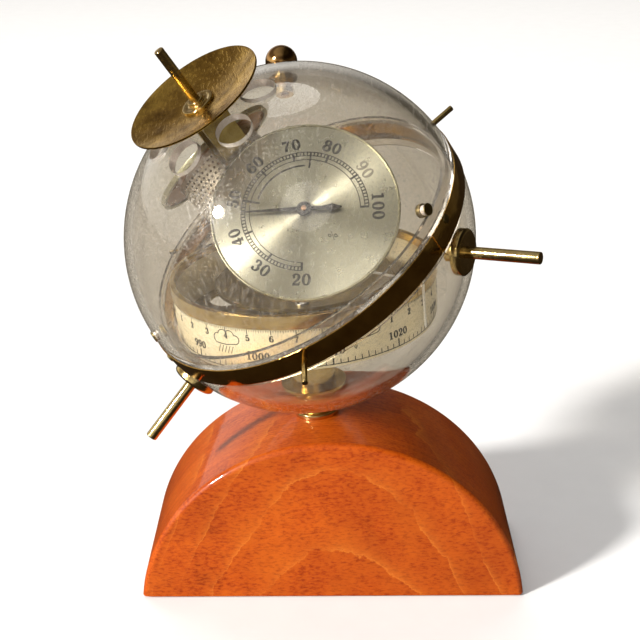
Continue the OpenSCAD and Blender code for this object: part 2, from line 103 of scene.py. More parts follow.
GLOBE = joint_frame("globe_turn", (0, 1, 0))
HYGRO_AXIS = Vector(JOINTS["hygrometer_reading"]["axis"])
THERMO_AXIS = Vector(JOINTS["thermometer_reading"]["axis"])
POLE = (HYGRO_AXIS + THERMO_AXIS).normalized()
ACROSS = (HYGRO_AXIS - THERMO_AXIS).normalized()
TILT = axes(GLOBE.translation, POLE, POLE.cross(ACROSS))
HYGRO = joint_frame("hygrometer_reading", POLE)
THERMO = joint_frame("thermometer_reading", POLE)


def local_points(node, place):
    back = place.inverted()
    return [back @ vertex.co for vertex in frame["nodes"][node].data.vertices]


def heights(node, place):
    """Lowest and highest Z of a CAD node in a frame."""
    found = [point.z for point in local_points(node, place)]
    return min(found), max(found)


def radii(node, place):
    """Nearest and farthest distance of a CAD node from a frame's Z axis."""
    found = [math.hypot(point.x, point.y) for point in local_points(node, place)]
    return min(found), max(found)


def reaches(node, place):
    """Nearest and farthest distance of a CAD node from a frame's origin."""
    found = [point.length for point in local_points(node, place)]
    return min(found), max(found)


INNER_R, GLOBE_R = reaches("dome", GLOBE)
BAND_LOW, BAND_TOP = heights("band", TILT)
BAND_R = radii("band", TILT)[1]
DRUM_R = radii("drum", GLOBE)[1]
DRUM_LOW, DRUM_TOP = heights("drum", GLOBE)

# Headings and heights about the tilted axis, in degrees, of the pieces set into the globe
BALL_AT = (131.5, 33.5)
ROD_AT = [(29, -13), (147, -14), (263, -15.5)]
PIN_AT = [(-33 + 120 * k, -1.2) for k in range(3)]
RIVET_AT = [(29.5 + 120 * k, 0.8) for k in range(3)]
SCREW_AT = [(26 + 120 * k, 8.6) for k in range(3)]
VENT_AT = [(60 * k, 72) for k in range(6)]


# ---------------------------------------------------------------- materials


class Nodes:
    """Short names for building the nodes of a new material, or of a world that is handed in."""

    def __init__(self, name, world=None):
        self.owner = world or bpy.data.materials.new(name)
        self.owner.use_nodes = True
        self.tree = self.owner.node_tree
        self.tree.nodes.clear()
        self.output = self.add("OutputWorld" if world else "OutputMaterial")

    def add(self, kind, **settings):
        node = self.tree.nodes.new("ShaderNode" + kind)
        for key, value in settings.items():
            setattr(node, key, value)
        return node

    def link(self, source, target):
        self.tree.links.new(source, target)

    def place(self, scale=(1, 1, 1)):
        """The surface's own coordinates, stretched."""
        source = self.add("TexCoord").outputs["Object"]
        mapping = self.add("Mapping")
        mapping.inputs["Scale"].default_value = scale
        self.link(source, mapping.inputs["Vector"])
        return mapping.outputs[0]

    def noise(self, where, scale, detail=4.0, rough=0.55, distortion=0.0):
        node = self.add("TexNoise")
        node.inputs["Scale"].default_value = scale
        node.inputs["Detail"].default_value = detail
        node.inputs["Roughness"].default_value = rough
        node.inputs["Distortion"].default_value = distortion
        self.link(where, node.inputs["Vector"])
        return node.outputs[0]

    def ramp(self, source, *stops):
        """A colour ramp; each stop is a place and a grey or a colour."""
        node = self.add("ValToRGB")
        elements = node.color_ramp.elements
        while len(elements) < len(stops):
            elements.new(0.5)
        for element, (where, colour) in zip(elements, stops):
            element.position = where
            if isinstance(colour, (int, float)):
                colour = (colour, colour, colour)
            element.color = (*colour, 1)
        self.link(source, node.inputs[0])
        return node.outputs[0]

    def maths(self, operation, first, second=None):
        node = self.add("Math", operation=operation)
        for socket, value in zip(node.inputs, (first, second)):
            if isinstance(value, (int, float)):
                socket.default_value = value
            elif value is not None:
                self.link(value, socket)
        return node.outputs[0]

    def blend(self, factor, first, second, how="MIX"):
        """Two colours mixed; each is a socket or a colour."""
        node = self.add("Mix", data_type="RGBA", blend_type=how)
        sockets = node.inputs[0], node.inputs[6], node.inputs[7]
        for socket, value in zip(sockets, (factor, first, second)):
            if isinstance(value, (int, float)):
                socket.default_value = value
            elif isinstance(value, tuple):
                socket.default_value = (*value, 1)
            else:
                self.link(value, socket)
        return node.outputs[2]

    def spread(self, source, low, high):
        """A 0..1 value spread over low..high."""
        node = self.add("MapRange")
        node.inputs["To Min"].default_value = low
        node.inputs["To Max"].default_value = high
        self.link(source, node.inputs["Value"])
        return node.outputs[0]

    def bump(self, height, strength, distance, normal=None):
        node = self.add("Bump")
        node.inputs["Strength"].default_value = strength
        node.inputs["Distance"].default_value = distance
        self.link(height, node.inputs["Height"])
        if normal:
            self.link(normal, node.inputs["Normal"])
        return node.outputs[0]

    def principled(self, **inputs):
        """A Principled shader; names use _ for spaces, values are sockets, numbers or colours."""
        node = self.add("BsdfPrincipled")
        for key, value in inputs.items():
            socket = node.inputs[key.replace("_", " ")]
            if isinstance(value, bpy.types.NodeSocket):
                self.link(value, socket)
            elif isinstance(value, tuple) and len(value) == 3 and socket.type == "RGBA":
                socket.default_value = (*value, 1)
            else:
                socket.default_value = value
        return node.outputs[0]

    def done(self, shader):
        self.link(shader, self.output.inputs["Surface"])
        return self.owner


def scaled(colour, factor):
    return tuple(channel * factor for channel in colour)


def scratches(n, where, scale=900.0, sharp=0.62):
    """Fine hairlines in three directions: 1 in a scratch, 0 elsewhere."""
    lines = None
    for turn in (0.4, 1.5, 2.6):
        mapping = n.add("Mapping")
        mapping.inputs["Rotation"].default_value = (turn, turn * 1.7, turn * 2.3)
        mapping.inputs["Scale"].default_value = (1, 0.03, 1)
        n.link(where, mapping.inputs["Vector"])
        one = n.noise(mapping.outputs[0], scale, 1.0, 0.4)
        one = n.ramp(one, (sharp, 0.0), (sharp + 0.07, 1.0))
        lines = one if lines is None else n.maths("MAXIMUM", lines, one)
    return lines


def brass(name, colour, dark, rough=(0.08, 0.2), pitted=0.12, waviness=0.0):
    """Lacquered brass: cloudy tarnish, finger smudges in the gloss, pits and hairlines."""
    n = Nodes(name)
    where = n.place()
    clouds = n.noise(where, 140, 5, 0.6)
    spots = n.noise(where, 1600, 3, 0.7)
    tint = n.blend(n.ramp(clouds, (0.35, 0.0), (0.7, 1.0)), colour, dark)
    tint = n.blend(n.ramp(spots, (0.63, 0.0), (0.74, 0.55)), tint, scaled(dark, 0.35))
    smudge = n.noise(where, 220, 6, 0.65, 0.6)
    lines = scratches(n, where)
    gloss = n.maths("ADD", n.spread(smudge, *rough), n.maths("MULTIPLY", lines, 0.08))
    normal = n.bump(n.maths("SUBTRACT", n.noise(where, 2600, 3, 0.6), lines), pitted, 0.00012)
    if waviness:
        normal = n.bump(n.noise(where, 70, 2, 0.5), waviness, 0.0012, normal)
    return n.done(n.principled(Base_Color=tint, Metallic=1.0, Roughness=gloss, Normal=normal))


def plain_metal(name, colour, rough, streak=(40, 40, 900)):
    """Plated or brushed metal with fine streaks along one direction."""
    n = Nodes(name)
    streaks = n.noise(n.place(streak), 2.5, 3, 0.6)
    stains = n.noise(n.place(), 260, 4, 0.6)
    tint = n.blend(n.ramp(stains, (0.4, 0.0), (0.72, 0.5)), colour, scaled(colour, 0.55))
    gloss = n.spread(streaks, rough - 0.125, rough + 0.125)
    normal = n.bump(streaks, 0.12, 0.0001)
    return n.done(n.principled(Base_Color=tint, Metallic=1.0, Roughness=gloss, Normal=normal))


def acrylic(name, tint, haze):
    """Clear acrylic that lets lamps through, slightly smoked, with hairlines and a little dust."""
    n = Nodes(name)
    where = n.place()
    lines = scratches(n, where, 1100, 0.63)
    dust = n.ramp(n.noise(where, 2400, 2, 0.5), (0.66, 0.0), (0.74, 1.0))
    cloud = n.ramp(n.noise(where, 45, 4, 0.6), (0.35, 0.0), (0.75, 1.0))
    colour = n.blend(cloud, tint, scaled(tint, 0.94))
    glass = n.principled(Base_Color=colour, Transmission_Weight=1.0, Roughness=0.01, IOR=1.49)
    film = n.principled(Base_Color=(0.55, 0.51, 0.46), Roughness=0.3, Specular_IOR_Level=1.0)
    dirt = n.maths("ADD", n.maths("MULTIPLY", lines, haze * 3), n.maths("MULTIPLY", dust, haze * 4))
    dirt = n.maths("ADD", dirt, n.spread(cloud, haze * 0.3, haze))
    soiled = n.add("MixShader")
    n.link(dirt, soiled.inputs[0])
    n.link(glass, soiled.inputs[1])
    n.link(film, soiled.inputs[2])
    clear = n.add("BsdfTransparent")
    clear.inputs[0].default_value = (0.93, 0.92, 0.9, 1)
    lamps = n.add("MixShader")
    n.link(n.add("LightPath").outputs["Is Shadow Ray"], lamps.inputs[0])
    n.link(soiled.outputs[0], lamps.inputs[1])
    n.link(clear.outputs[0], lamps.inputs[2])
    return n.done(lamps.outputs[0])


def sawn_acrylic():
    """The drilled and turned edges of the acrylic: milky, with turning marks."""
    n = Nodes("sawn_acrylic")
    where = n.place()
    marks = n.noise(where, 1800, 3, 0.6)
    tint = n.ramp(marks, (0.3, (0.72, 0.6, 0.52)), (0.7, (0.93, 0.85, 0.79)))
    normal = n.bump(marks, 0.3, 0.0001)
    return n.done(
        n.principled(
            Base_Color=tint, Roughness=0.38, Transmission_Weight=0.55, IOR=1.49, Normal=normal,
        )
    )


def stained_wood():
    """Stained beech under gloss lacquer: growth arches on the ends, streaks along the curve."""
    n = Nodes("stained_wood_finish")
    where = n.place()
    split = n.add("SeparateXYZ")
    n.link(where, split.inputs[0])
    x, y, z = split.outputs
    # Growth rings are parabolas standing on the front face, ruffled by noise
    ruffle = n.noise(where, 120, 7, 0.7, 0.3)
    sway = n.noise(where, 26, 3, 0.5)
    off = n.maths("SUBTRACT", x, 0.003)
    ring = n.maths("ADD", z, n.maths("MULTIPLY", n.maths("MULTIPLY", off, off), 23.0))
    ring = n.maths("ADD", ring, n.maths("MULTIPLY", ruffle, 0.011))
    ring = n.maths("ADD", ring, n.maths("MULTIPLY", sway, 0.02))
    ring = n.maths("ADD", ring, n.maths("MULTIPLY", y, 0.25))
    phase = n.maths("FRACT", n.maths("MULTIPLY", ring, 34.0))
    lines = n.ramp(phase, (0.0, 0.9), (0.03, 0.45), (0.12, 0.15), (0.35, 0.0), (0.985, 0.0), (1.0, 0.9))
    lines = n.maths("MULTIPLY", lines, n.ramp(n.noise(where, 45, 2, 0.5), (0.36, 0.1), (0.6, 1.0)))
    # Streaks run round the curve and stay thin across its width
    streak = n.noise(n.place((9, 520, 9)), 1.6, 6, 0.65)
    speckle = n.noise(n.place((0.4, 1, 1)), 1250, 4, 0.75)
    blotch = n.noise(where, 62, 5, 0.6)
    smoky = n.noise(n.place((0.8, 1.3, 0.8)), 30, 3, 0.5)
    deep, mid, pale = (0.17, 0.018, 0.001), (0.38, 0.046, 0.002), (0.56, 0.112, 0.006)
    tint = n.ramp(blotch, (0.18, deep), (0.42, mid), (0.78, pale))
    tint = n.blend(n.ramp(speckle, (0.35, 0.0), (0.62, 0.62)), tint, pale)
    tint = n.blend(n.ramp(speckle, (0.34, 0.55), (0.5, 0.0)), tint, deep)
    tint = n.blend(n.ramp(streak, (0.40, 0.0), (0.72, 0.42)), tint, deep)
    tint = n.blend(n.ramp(streak, (0.28, 0.3), (0.44, 0.0)), tint, pale)
    tint = n.blend(n.ramp(smoky, (0.5, 0.0), (0.8, 0.35)), tint, deep)
    tint = n.blend(n.maths("MULTIPLY", lines, 0.55), tint, (0.70, 0.21, 0.025))
    normal = n.bump(n.maths("ADD", speckle, n.maths("MULTIPLY", streak, 0.6)), 0.10, 0.0002)
    coat_normal = n.bump(n.noise(where, 150, 3, 0.5), 0.035, 0.0009)
    return n.done(
        n.principled(
            Base_Color=tint, Roughness=0.42, Specular_IOR_Level=0.15, Normal=normal, Coat_Weight=0.6,
            Coat_Roughness=0.07, Coat_IOR=1.5, Coat_Normal=coat_normal,
        )
    )


def spun_face(name, light, dark, rough=0.3):
    """Metal spun on a lathe: hairline grooves round the middle, so light fans out from it."""
    n = Nodes(name)
    split = n.add("SeparateXYZ")
    n.link(n.place(), split.inputs[0])
    x, y = split.outputs[0], split.outputs[1]
    out = n.maths("SQRT", n.maths("ADD", n.maths("MULTIPLY", x, x), n.maths("MULTIPLY", y, y)))
    joined = n.add("CombineXYZ")
    n.link(out, joined.inputs[0])
    grooves = n.noise(joined.outputs[0], 5200, 3, 0.7)
    stains = n.noise(n.place(), 190, 6, 0.65)
    freckle = n.noise(n.place(), 1500, 2, 0.6)
    tint = n.blend(n.ramp(grooves, (0.3, 0.0), (0.7, 1.0)), light, scaled(light, 0.9))
    tint = n.blend(n.ramp(stains, (0.45, 0.0), (0.8, 0.4)), tint, dark)
    tint = n.blend(n.ramp(freckle, (0.66, 0.0), (0.78, 0.35)), tint, dark)
    gloss = n.spread(stains, rough - 0.06, rough + 0.1)
    normal = n.bump(grooves, 0.10, 0.00006)
    tangent = n.add("Tangent", direction_type="RADIAL", axis="Z")
    return n.done(
        n.principled(
            Base_Color=tint, Metallic=1.0, Roughness=gloss, Anisotropic=0.85, Anisotropic_Rotation=0.25,
            Tangent=tangent.outputs[0], Normal=normal,
        )
    )


def drum_sheet():
    """Pale gold anodised strip, faintly brushed along its length, lightly stained."""
    n = Nodes("printed_drum_finish")
    brushed = n.noise(n.place((12, 12, 900)), 2.2, 3, 0.6)
    stains = n.noise(n.place(), 120, 6, 0.65)
    specks = n.noise(n.place(), 1900, 2, 0.5)
    tint = n.ramp(stains, (0.3, (0.95, 0.88, 0.66)), (0.7, (0.87, 0.78, 0.52)))
    tint = n.blend(n.ramp(specks, (0.64, 0.0), (0.72, 0.5)), tint, (0.32, 0.22, 0.08))
    gloss = n.spread(brushed, 0.26, 0.42)
    normal = n.bump(brushed, 0.10, 0.0001)
    return n.done(n.principled(Base_Color=tint, Metallic=0.6, Roughness=gloss, Normal=normal))


def enamel(name, colour, rough, spots, shine=0.5):
    n = Nodes(name)
    where = n.place()
    mottle = n.noise(where, 700, 4, 0.6)
    tint = n.blend(n.ramp(mottle, (0.4, 0.0), (0.75, 0.6)), colour, spots)
    normal = n.bump(n.noise(where, 1500, 3, 0.6), 0.12, 0.0001)
    gloss = n.spread(mottle, rough * 0.8, rough * 1.25)
    return n.done(
        n.principled(Base_Color=tint, Roughness=gloss, Specular_IOR_Level=shine, Normal=normal)
    )


def felt():
    n = Nodes("felt_finish")
    where = n.place()
    fibre = n.noise(n.place((1, 3, 1)), 1400, 5, 0.7, 1.5)
    tint = n.ramp(fibre, (0.3, (0.012, 0.03, 0.016)), (0.7, (0.04, 0.085, 0.045)))
    normal = n.bump(n.noise(where, 2200, 4, 0.7), 0.5, 0.0003)
    return n.done(n.principled(Base_Color=tint, Roughness=0.95, Sheen_Weight=0.4, Normal=normal))


def ink(name, colour, worn):
    """Printed ink, thin in places."""
    n = Nodes(name)
    wear = n.noise(n.place(), 900, 4, 0.7)
    tint = n.blend(n.ramp(wear, (0.52, 0.0), (0.78, 0.55)), colour, worn)
    return n.done(n.principled(Base_Color=tint, Roughness=0.5))


GOLD = (0.82, 0.63, 0.29)
OLD_GOLD = (0.50, 0.34, 0.11)
BRASS = brass("brass_finish", GOLD, OLD_GOLD, (0.09, 0.24), 0.16)
DISH_BRASS = brass("dish_brass", (0.86, 0.55, 0.12), (0.36, 0.20, 0.03), (0.10, 0.24), 0.34, 0.5)
MIRROR_BRASS = brass("band_brass", (0.80, 0.50, 0.14), (0.50, 0.28, 0.06), (0.02, 0.07), 0.05, 0.35)
DARK_BRASS = brass("dark_brass_finish", (0.42, 0.33, 0.14), (0.22, 0.16, 0.06), (0.25, 0.45), 0.3)
BRONZE = brass("ball_bronze", (0.62, 0.36, 0.13), (0.36, 0.18, 0.06), (0.05, 0.13), 0.08)
STEEL = plain_metal("steel_finish", (0.62, 0.61, 0.58), 0.3)
COPPER = plain_metal("copper_finish", (0.72, 0.40, 0.24), 0.32)
CASE = plain_metal("case_finish", (0.60, 0.48, 0.36), 0.36)
SHEET = plain_metal("perforated_finish", (0.66, 0.58, 0.46), 0.33)
CAPSULE = plain_metal("capsule_finish", (0.66, 0.64, 0.58), 0.28, (40, 40, 40))
DOME_CLEAR = acrylic("dome_acrylic", (0.88, 0.855, 0.81), 0.04)
BOWL_CLEAR = acrylic("bowl_acrylic", (0.90, 0.87, 0.82), 0.03)
RING_CLEAR = acrylic("ring_acrylic", (0.90, 0.86, 0.80), 0.03)
SAWN = sawn_acrylic()
WOOD = stained_wood()
FACE = spun_face("dial_finish", (0.74, 0.73, 0.59), (0.42, 0.39, 0.28), 0.27)
BACK = plain_metal("dial_back", (0.40, 0.20, 0.09), 0.3, (60, 60, 60))
BEZEL = plain_metal("bezel_finish", (0.52, 0.49, 0.34), 0.3, (60, 60, 60))
DRUM = drum_sheet()
BLACK = enamel("black_finish", (0.006, 0.006, 0.006), 0.5, (0.02, 0.018, 0.016), 0.12)
WHITE = enamel("white_finish", (0.80, 0.80, 0.76), 0.3, (0.62, 0.59, 0.5))
FELT = felt()
BLACK_INK = ink("black_ink", (0.006, 0.006, 0.005), (0.05, 0.045, 0.03))
WORN_INK = ink("worn_ink", (0.16, 0.15, 0.12), (0.42, 0.39, 0.31))


# ---------------------------------------------------------------- building shapes


# Edges that turn by more than this many degrees are shaded as edges
SHARP = 32.0


def eased(outline, ease, steps=4):
    """The outline with each corner rounded; a point may carry its own radius as a third number."""
    rounded = []
    count = len(outline)
    for index, point in enumerate(outline):
        corner = Vector(point[:2])
        before = Vector(outline[index - 1][:2]) - corner
        after = Vector(outline[(index + 1) % count][:2]) - corner
        radius = point[2] if len(point) > 2 else ease
        cut = min(radius, before.length * 0.45, after.length * 0.45)
        if cut < 1e-6 or abs(before.normalized().cross(after.normalized())) < 0.05:
            rounded.append(tuple(corner))
            continue
        start = corner + before.normalized() * cut
        end = corner + after.normalized() * cut
        for step in range(steps + 1):
            t = step / steps
            rounded.append(tuple(start * (1 - t) ** 2 + corner * 2 * t * (1 - t) + end * t * t))
    return rounded


def curve(centre, rx, ry, start, end, steps=14):
    """Part of an ellipse; angles in degrees, anticlockwise from the first axis."""
    points = []
    for k in range(steps + 1):
        angle = math.radians(start + (end - start) * k / steps)
        points.append((centre[0] + rx * math.cos(angle), centre[1] + ry * math.sin(angle)))
    return points


def arc(radius, start, end, steps, centre=(0, 0)):
    return curve(centre, radius, radius, start, end, steps)


class Shape:
    """Collects closed solids into one mesh, in the frame of the piece."""

    def __init__(self):
        self.mesh = bmesh.new()

    def solid(self, points, faces, at=None, slot=0):
        at = at or IDENTITY
        made = [self.mesh.verts.new(at @ Vector(point)) for point in points]
        new = []
        for face in faces:
            if len(set(face)) > 2:
                new.append(self.mesh.faces.new([made[k] for k in dict.fromkeys(face)]))
        for face in new:
            face.material_index = slot
        bmesh.ops.recalc_face_normals(self.mesh, faces=new)
        return self

    def lathe(self, outline, at=None, segments=96, start=0.0, sweep=360.0, slot=0):
        """Turns a closed outline of (radius, height) points about Z."""
        whole = sweep >= 360
        rings = segments if whole else segments + 1
        points, index = [], {}
        for k in range(rings):
            angle = math.radians(start + sweep * k / segments)
            for j, (radius, height) in enumerate(outline):
                if radius < 1e-7 and k and whole:
                    index[k, j] = index[0, j]
                    continue
                index[k, j] = len(points)
                points.append((radius * math.cos(angle), radius * math.sin(angle), height))
        faces = []
        count = len(outline)
        for k in range(segments):
            after = (k + 1) % rings
            for j in range(count):
                i = (j + 1) % count
                if outline[j][0] < 1e-7 and outline[i][0] < 1e-7:
                    continue
                faces.append((index[k, j], index[after, j], index[after, i], index[k, i]))
        if not whole:
            faces.append([index[0, j] for j in range(count)])
            faces.append([index[segments, j] for j in range(count)])
        return self.solid(points, faces, at, slot)

    def prism(self, outline, low, high, at=None):
        """A closed outline from one height to another."""
        count = len(outline)
        points = [(x, y, z) for z in (low, high) for x, y in outline]
        faces = [list(range(count)), list(range(count, 2 * count))]
        faces += [(k, (k + 1) % count, (k + 1) % count + count, k + count) for k in range(count)]
        return self.solid(points, faces, at)

    def ribbon(self, centre, widths, low, high, slot=0, bend=None):
        """A strip of varying width along points, as a chain of blocks; bend maps it onto a surface."""
        count = len(centre)
        sides = []
        for k, point in enumerate(centre):
            before, after = Vector(centre[max(k - 1, 0)]), Vector(centre[min(k + 1, count - 1)])
            along = (after - before).normalized()
            across = Vector((-along.y, along.x)) * widths[k] / 2
            sides.append((Vector(point) + across, Vector(point) - across))
        points = [(*side, z) for pair in sides for side in pair for z in (low, high)]
        if bend:
            points = [bend(*point) for point in points]
        faces = []
        for a in range(0, 4 * (count - 1), 4):
            b = a + 4
            faces += [
                (a + 1, b + 1, b + 3, a + 3), (a, a + 2, b + 2, b),
                (a, b, b + 1, a + 1), (a + 2, a + 3, b + 3, b + 2),
            ]
        end = 4 * (count - 1)
        faces += [(0, 1, 3, 2), (end, end + 2, end + 3, end + 1)]
        return self.solid(points, faces, slot=slot)

    def data(self, name):
        """The finished mesh; the shape takes nothing more after this."""
        data = bpy.data.meshes.new(name)
        self.mesh.to_mesh(data)
        self.mesh.free()
        return data

    def piece(self, name, *settings, **more):
        """Makes a piece of the shape; the settings are those of finish_piece after the mesh."""
        return finish_piece(name, self.data(name), *settings, **more)


def put(name, data):
    """A new object in the scene."""
    made = bpy.data.objects.new(name, data)
    bpy.context.scene.collection.objects.link(made)
    return made


def finish_piece(
    name, data, place, body, slot, materials, replaces=(), sharp=SHARP, own_frame=False
):
    """Makes the piece. Its mesh is put in the part's frame, unless its finish needs its own."""
    for material in materials:
        data.materials.append(material)
    if not own_frame:
        data.transform(place)
        place = IDENTITY
    data.shade_smooth()
    if sharp:
        data.set_sharp_from_angle(angle=math.radians(sharp))
    made = put(name, data)
    made.matrix_world = place
    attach(made, body)
    if replaces:
        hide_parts(*replaces)
    return made


def dress(node, material):
    """A CAD node that keeps its mesh gets its finish."""
    mesh = frame["nodes"][node].data
    mesh.materials.clear()
    mesh.materials.append(material)
    mesh.shade_smooth()
    mesh.set_sharp_from_angle(angle=math.radians(SHARP))


def rod_outline(radius, low, high, ease):
    return eased([(0, low, 0), (radius, low), (radius, high), (0, high, 0)], ease)


def tube_outline(inner, outer, low, high, ease):
    return eased([(inner, low), (outer, low), (outer, high), (inner, high)], ease)


def turned(name, outline, place, slot, material, node, segments=96, body="globe", sharp=SHARP):
    """A piece turned about its frame's Z, which stands for one CAD node."""
    shape = Shape().lathe(outline, segments=segments)
    shape.piece(name, place, body, slot, [material], [node], sharp)


# ---------------------------------------------------------------- block and post


def build_block():
    low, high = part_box("base_block")
    # The arch's centre lies below the block's foot: solve it from the width and the height
    half, rise = (high.x - low.x) / 2, high.z - low.z
    arc_r = (half * half + rise * rise) / (2 * rise)
    arch_z = high.z - arc_r
    depth = (high.y - low.y) / 2
    ease = 2.2 * MM
    foot_angle = math.degrees(math.asin((low.z - arch_z) / arc_r))
    steps, ease_steps = 120, 8
    # Section across the arch's edge, from the front face round to the back face
    rim = arc(ease, -90, 0, ease_steps, (arc_r - ease, ease - depth))
    rim += [(radius, -y) for radius, y in reversed(rim)]
    points, rows = [], []
    for k in range(steps + 1):
        angle = math.radians(foot_angle + (180 - 2 * foot_angle) * k / steps)
        row = []
        for radius, y in rim:
            row.append(len(points))
            x = radius * math.cos(angle)
            z = arch_z + radius * math.sin(angle)
            points.append((x, y, max(z, low.z)))
        rows.append(row)
    faces = []
    for k in range(steps):
        for j in range(len(rim) - 1):
            faces.append((rows[k][j], rows[k + 1][j], rows[k + 1][j + 1], rows[k][j + 1]))
    faces.append([row[0] for row in rows])
    faces.append([row[-1] for row in rows])
    faces.append(rows[0] + list(reversed(rows[-1])))
    shape = Shape().solid(points, faces)
    shape.piece("wood_block", IDENTITY, "base", "stained_wood", [WOOD], ["base_block"], 40)


def build_foot():
    flange_low, flange_high = heights("foot_flange", GLOBE)
    flange_r = radii("foot_flange", GLOBE)[1]
    collar_high = heights("foot_collar", GLOBE)[1]
    bore, collar_r = radii("foot_collar", GLOBE)
    outline = tube_outline(bore, flange_r, flange_low, flange_high, 0.7 * MM)
    turned("post_flange", outline, GLOBE, "brass", BRASS, "foot_flange", body="base")
    waist = collar_r - 0.8 * MM
    outline = [
        (bore, flange_high), (collar_r, flange_high), (collar_r, flange_high + 1.1 * MM),
        (waist, flange_high + 1.7 * MM), (waist, collar_high - 1.8 * MM),
        (collar_r, collar_high - 1.3 * MM), (collar_r, collar_high - 0.25 * MM, 0.1 * MM),
        (bore, collar_high - 0.25 * MM),
    ]
    outline = eased(outline, 0.35 * MM)
    turned("post_collar", outline, GLOBE, "brass", BRASS, "foot_collar", body="base")


# ---------------------------------------------------------------- clear shells


def cutter(holes):
    """An object made of cylinders that drill a shell; each hole is a frame and a radius."""
    low, high = INNER_R - 8 * MM, GLOBE_R + 8 * MM
    shape = Shape()
    for place, radius in holes:
        shape.lathe([(0, low), (radius, low), (radius, high), (0, high)], place, 72, slot=1)
    data = shape.data("cutter")
    data.materials.append(None)
    data.materials.append(SAWN)
    return put("cutter", data)


def drilled_shell(name, outline, holes, clear, slot, node):
    """A turned shell with drilled holes, shaded as the true sphere."""
    data = Shape().lathe(outline, segments=192).data(name + "_blank")
    data.materials.append(clear)
    data.materials.append(SAWN)
    blank = put(name + "_blank", data)
    drill = cutter(holes)
    cut = blank.modifiers.new("drill", "BOOLEAN")
    cut.operation = "DIFFERENCE"
    cut.solver = "EXACT"
    cut.object = drill
    bpy.context.view_layer.update()
    graph = bpy.context.evaluated_depsgraph_get()
    result = bpy.data.meshes.new_from_object(blank.evaluated_get(graph))
    result.name = name
    for spare in (blank, drill):
        bpy.data.objects.remove(spare)
    drilled = [polygon.material_index for polygon in result.polygons]
    result.materials.clear()
    finish_piece(name, result, TILT, "globe", slot, [clear, SAWN], [node], 0)
    result.polygons.foreach_set("material_index", drilled)
    middle = 0.5 * (GLOBE_R + INNER_R)
    centre = GLOBE.translation
    normals = [None] * len(result.loops)
    for polygon in result.polygons:
        facing = polygon.normal.dot((polygon.center - centre).normalized())
        for loop in polygon.loop_indices:
            point = result.vertices[result.loops[loop].vertex_index].co - centre
            if facing > 0.8 and point.length > middle:
                normals[loop] = point.normalized()
            elif facing < -0.8 and point.length < middle:
                normals[loop] = -point.normalized()
            else:
                normals[loop] = polygon.normal.copy()
    result.normals_split_custom_set(normals)


def build_shells():
    steps = 84
    vent_r, screw_hole_r, post_hole_r = 5.9 * MM, 1.6 * MM, 2.6 * MM
    bore = radii("dish_rod", TILT)[1] + 0.1 * MM
    top = math.degrees(math.acos(bore / GLOBE_R))
    outer_edge = math.degrees(math.asin(BAND_TOP / GLOBE_R))
    inner_edge = math.degrees(math.asin(BAND_TOP / INNER_R))
    outline = arc(GLOBE_R, top, outer_edge, steps) + arc(INNER_R, inner_edge, top, steps)
    holes = [(headed(IDENTITY, *at), vent_r) for at in VENT_AT]
    holes += [(headed(IDENTITY, *at), screw_hole_r) for at in [BALL_AT] + SCREW_AT]
    drilled_shell("clear_dome_shell", outline, holes, DOME_CLEAR, "clear_dome", "dome")
    outer_edge = math.degrees(math.asin(BAND_LOW / GLOBE_R))
    inner_edge = math.degrees(math.asin(BAND_LOW / INNER_R))
    outline = arc(GLOBE_R, outer_edge, -90, steps)[:-1] + [(0, -GLOBE_R), (0, -INNER_R)]
    outline += arc(INNER_R, -90, inner_edge, steps)[1:]
    post = TILT.inverted() @ GLOBE @ Matrix.Rotation(math.pi, 4, "X")
    holes = [(post, post_hole_r)]
    holes += [(headed(IDENTITY, *at), screw_hole_r) for at in ROD_AT]
    drilled_shell("clear_bowl_shell", outline, holes, BOWL_CLEAR, "clear_bowl", "bowl")


def build_band():
    # The strip's ends butt at a heading, with a narrow gap between them, both in degrees
    joint, half_gap = 21, 0.2
    thick = 1 * MM
    outline = tube_outline(BAND_R - thick, BAND_R, BAND_LOW, BAND_TOP, 0.25 * MM)
    shape = Shape().lathe(outline, segments=240, start=joint + half_gap, sweep=360 - 2 * half_gap)
    shape.piece("band_strip", TILT, "globe", "polished_brass", [MIRROR_BRASS], ["band"])
    shape = Shape()
    pins = Shape()
    pin_r = 1 * MM
    pin_from, pin_to = reaches("band_pins", TILT)
    for pin_at, rivet_at in zip(PIN_AT, RIVET_AT):
        at = headed(IDENTITY, *pin_at)
        pins.lathe(rod_outline(pin_r, pin_from, pin_to - 0.02 * MM, 0.3 * MM), at, 40)
        cap = headed(IDENTITY, *rivet_at)
        foot = BAND_R + 0.05 * MM
        dome = [(0, foot), (1.5 * MM, foot), (1.35 * MM, foot + 0.25 * MM),
                (0.8 * MM, foot + 0.45 * MM), (0, foot + 0.5 * MM)]
        shape.lathe(dome, cap, 32)
    pins.piece("short_pins", TILT, "globe", "brass", [BRASS], ["band_pins"])
    shape.piece("band_rivet_heads", TILT, "globe", "brass", [DARK_BRASS], ["band_rivets"])
    screws = Shape()
    nut, head = INNER_R - 1.5 * MM, GLOBE_R + 0.05 * MM
    for screw_at in SCREW_AT:
        at = headed(IDENTITY, *screw_at)
        screws.lathe(rod_outline(2.2 * MM, nut, INNER_R - 0.1 * MM, 0.2 * MM), at, 40)
        screws.lathe(rod_outline(1.5 * MM, INNER_R - 0.4 * MM, GLOBE_R + 0.1 * MM, 0), at, 40)
        screws.lathe(rod_outline(2 * MM, head, head + 0.5 * MM, 0.22 * MM), at, 40)
    screws.piece("dome_screw_set", TILT, "globe", "dark_brass", [DARK_BRASS], ["dome_screws"])


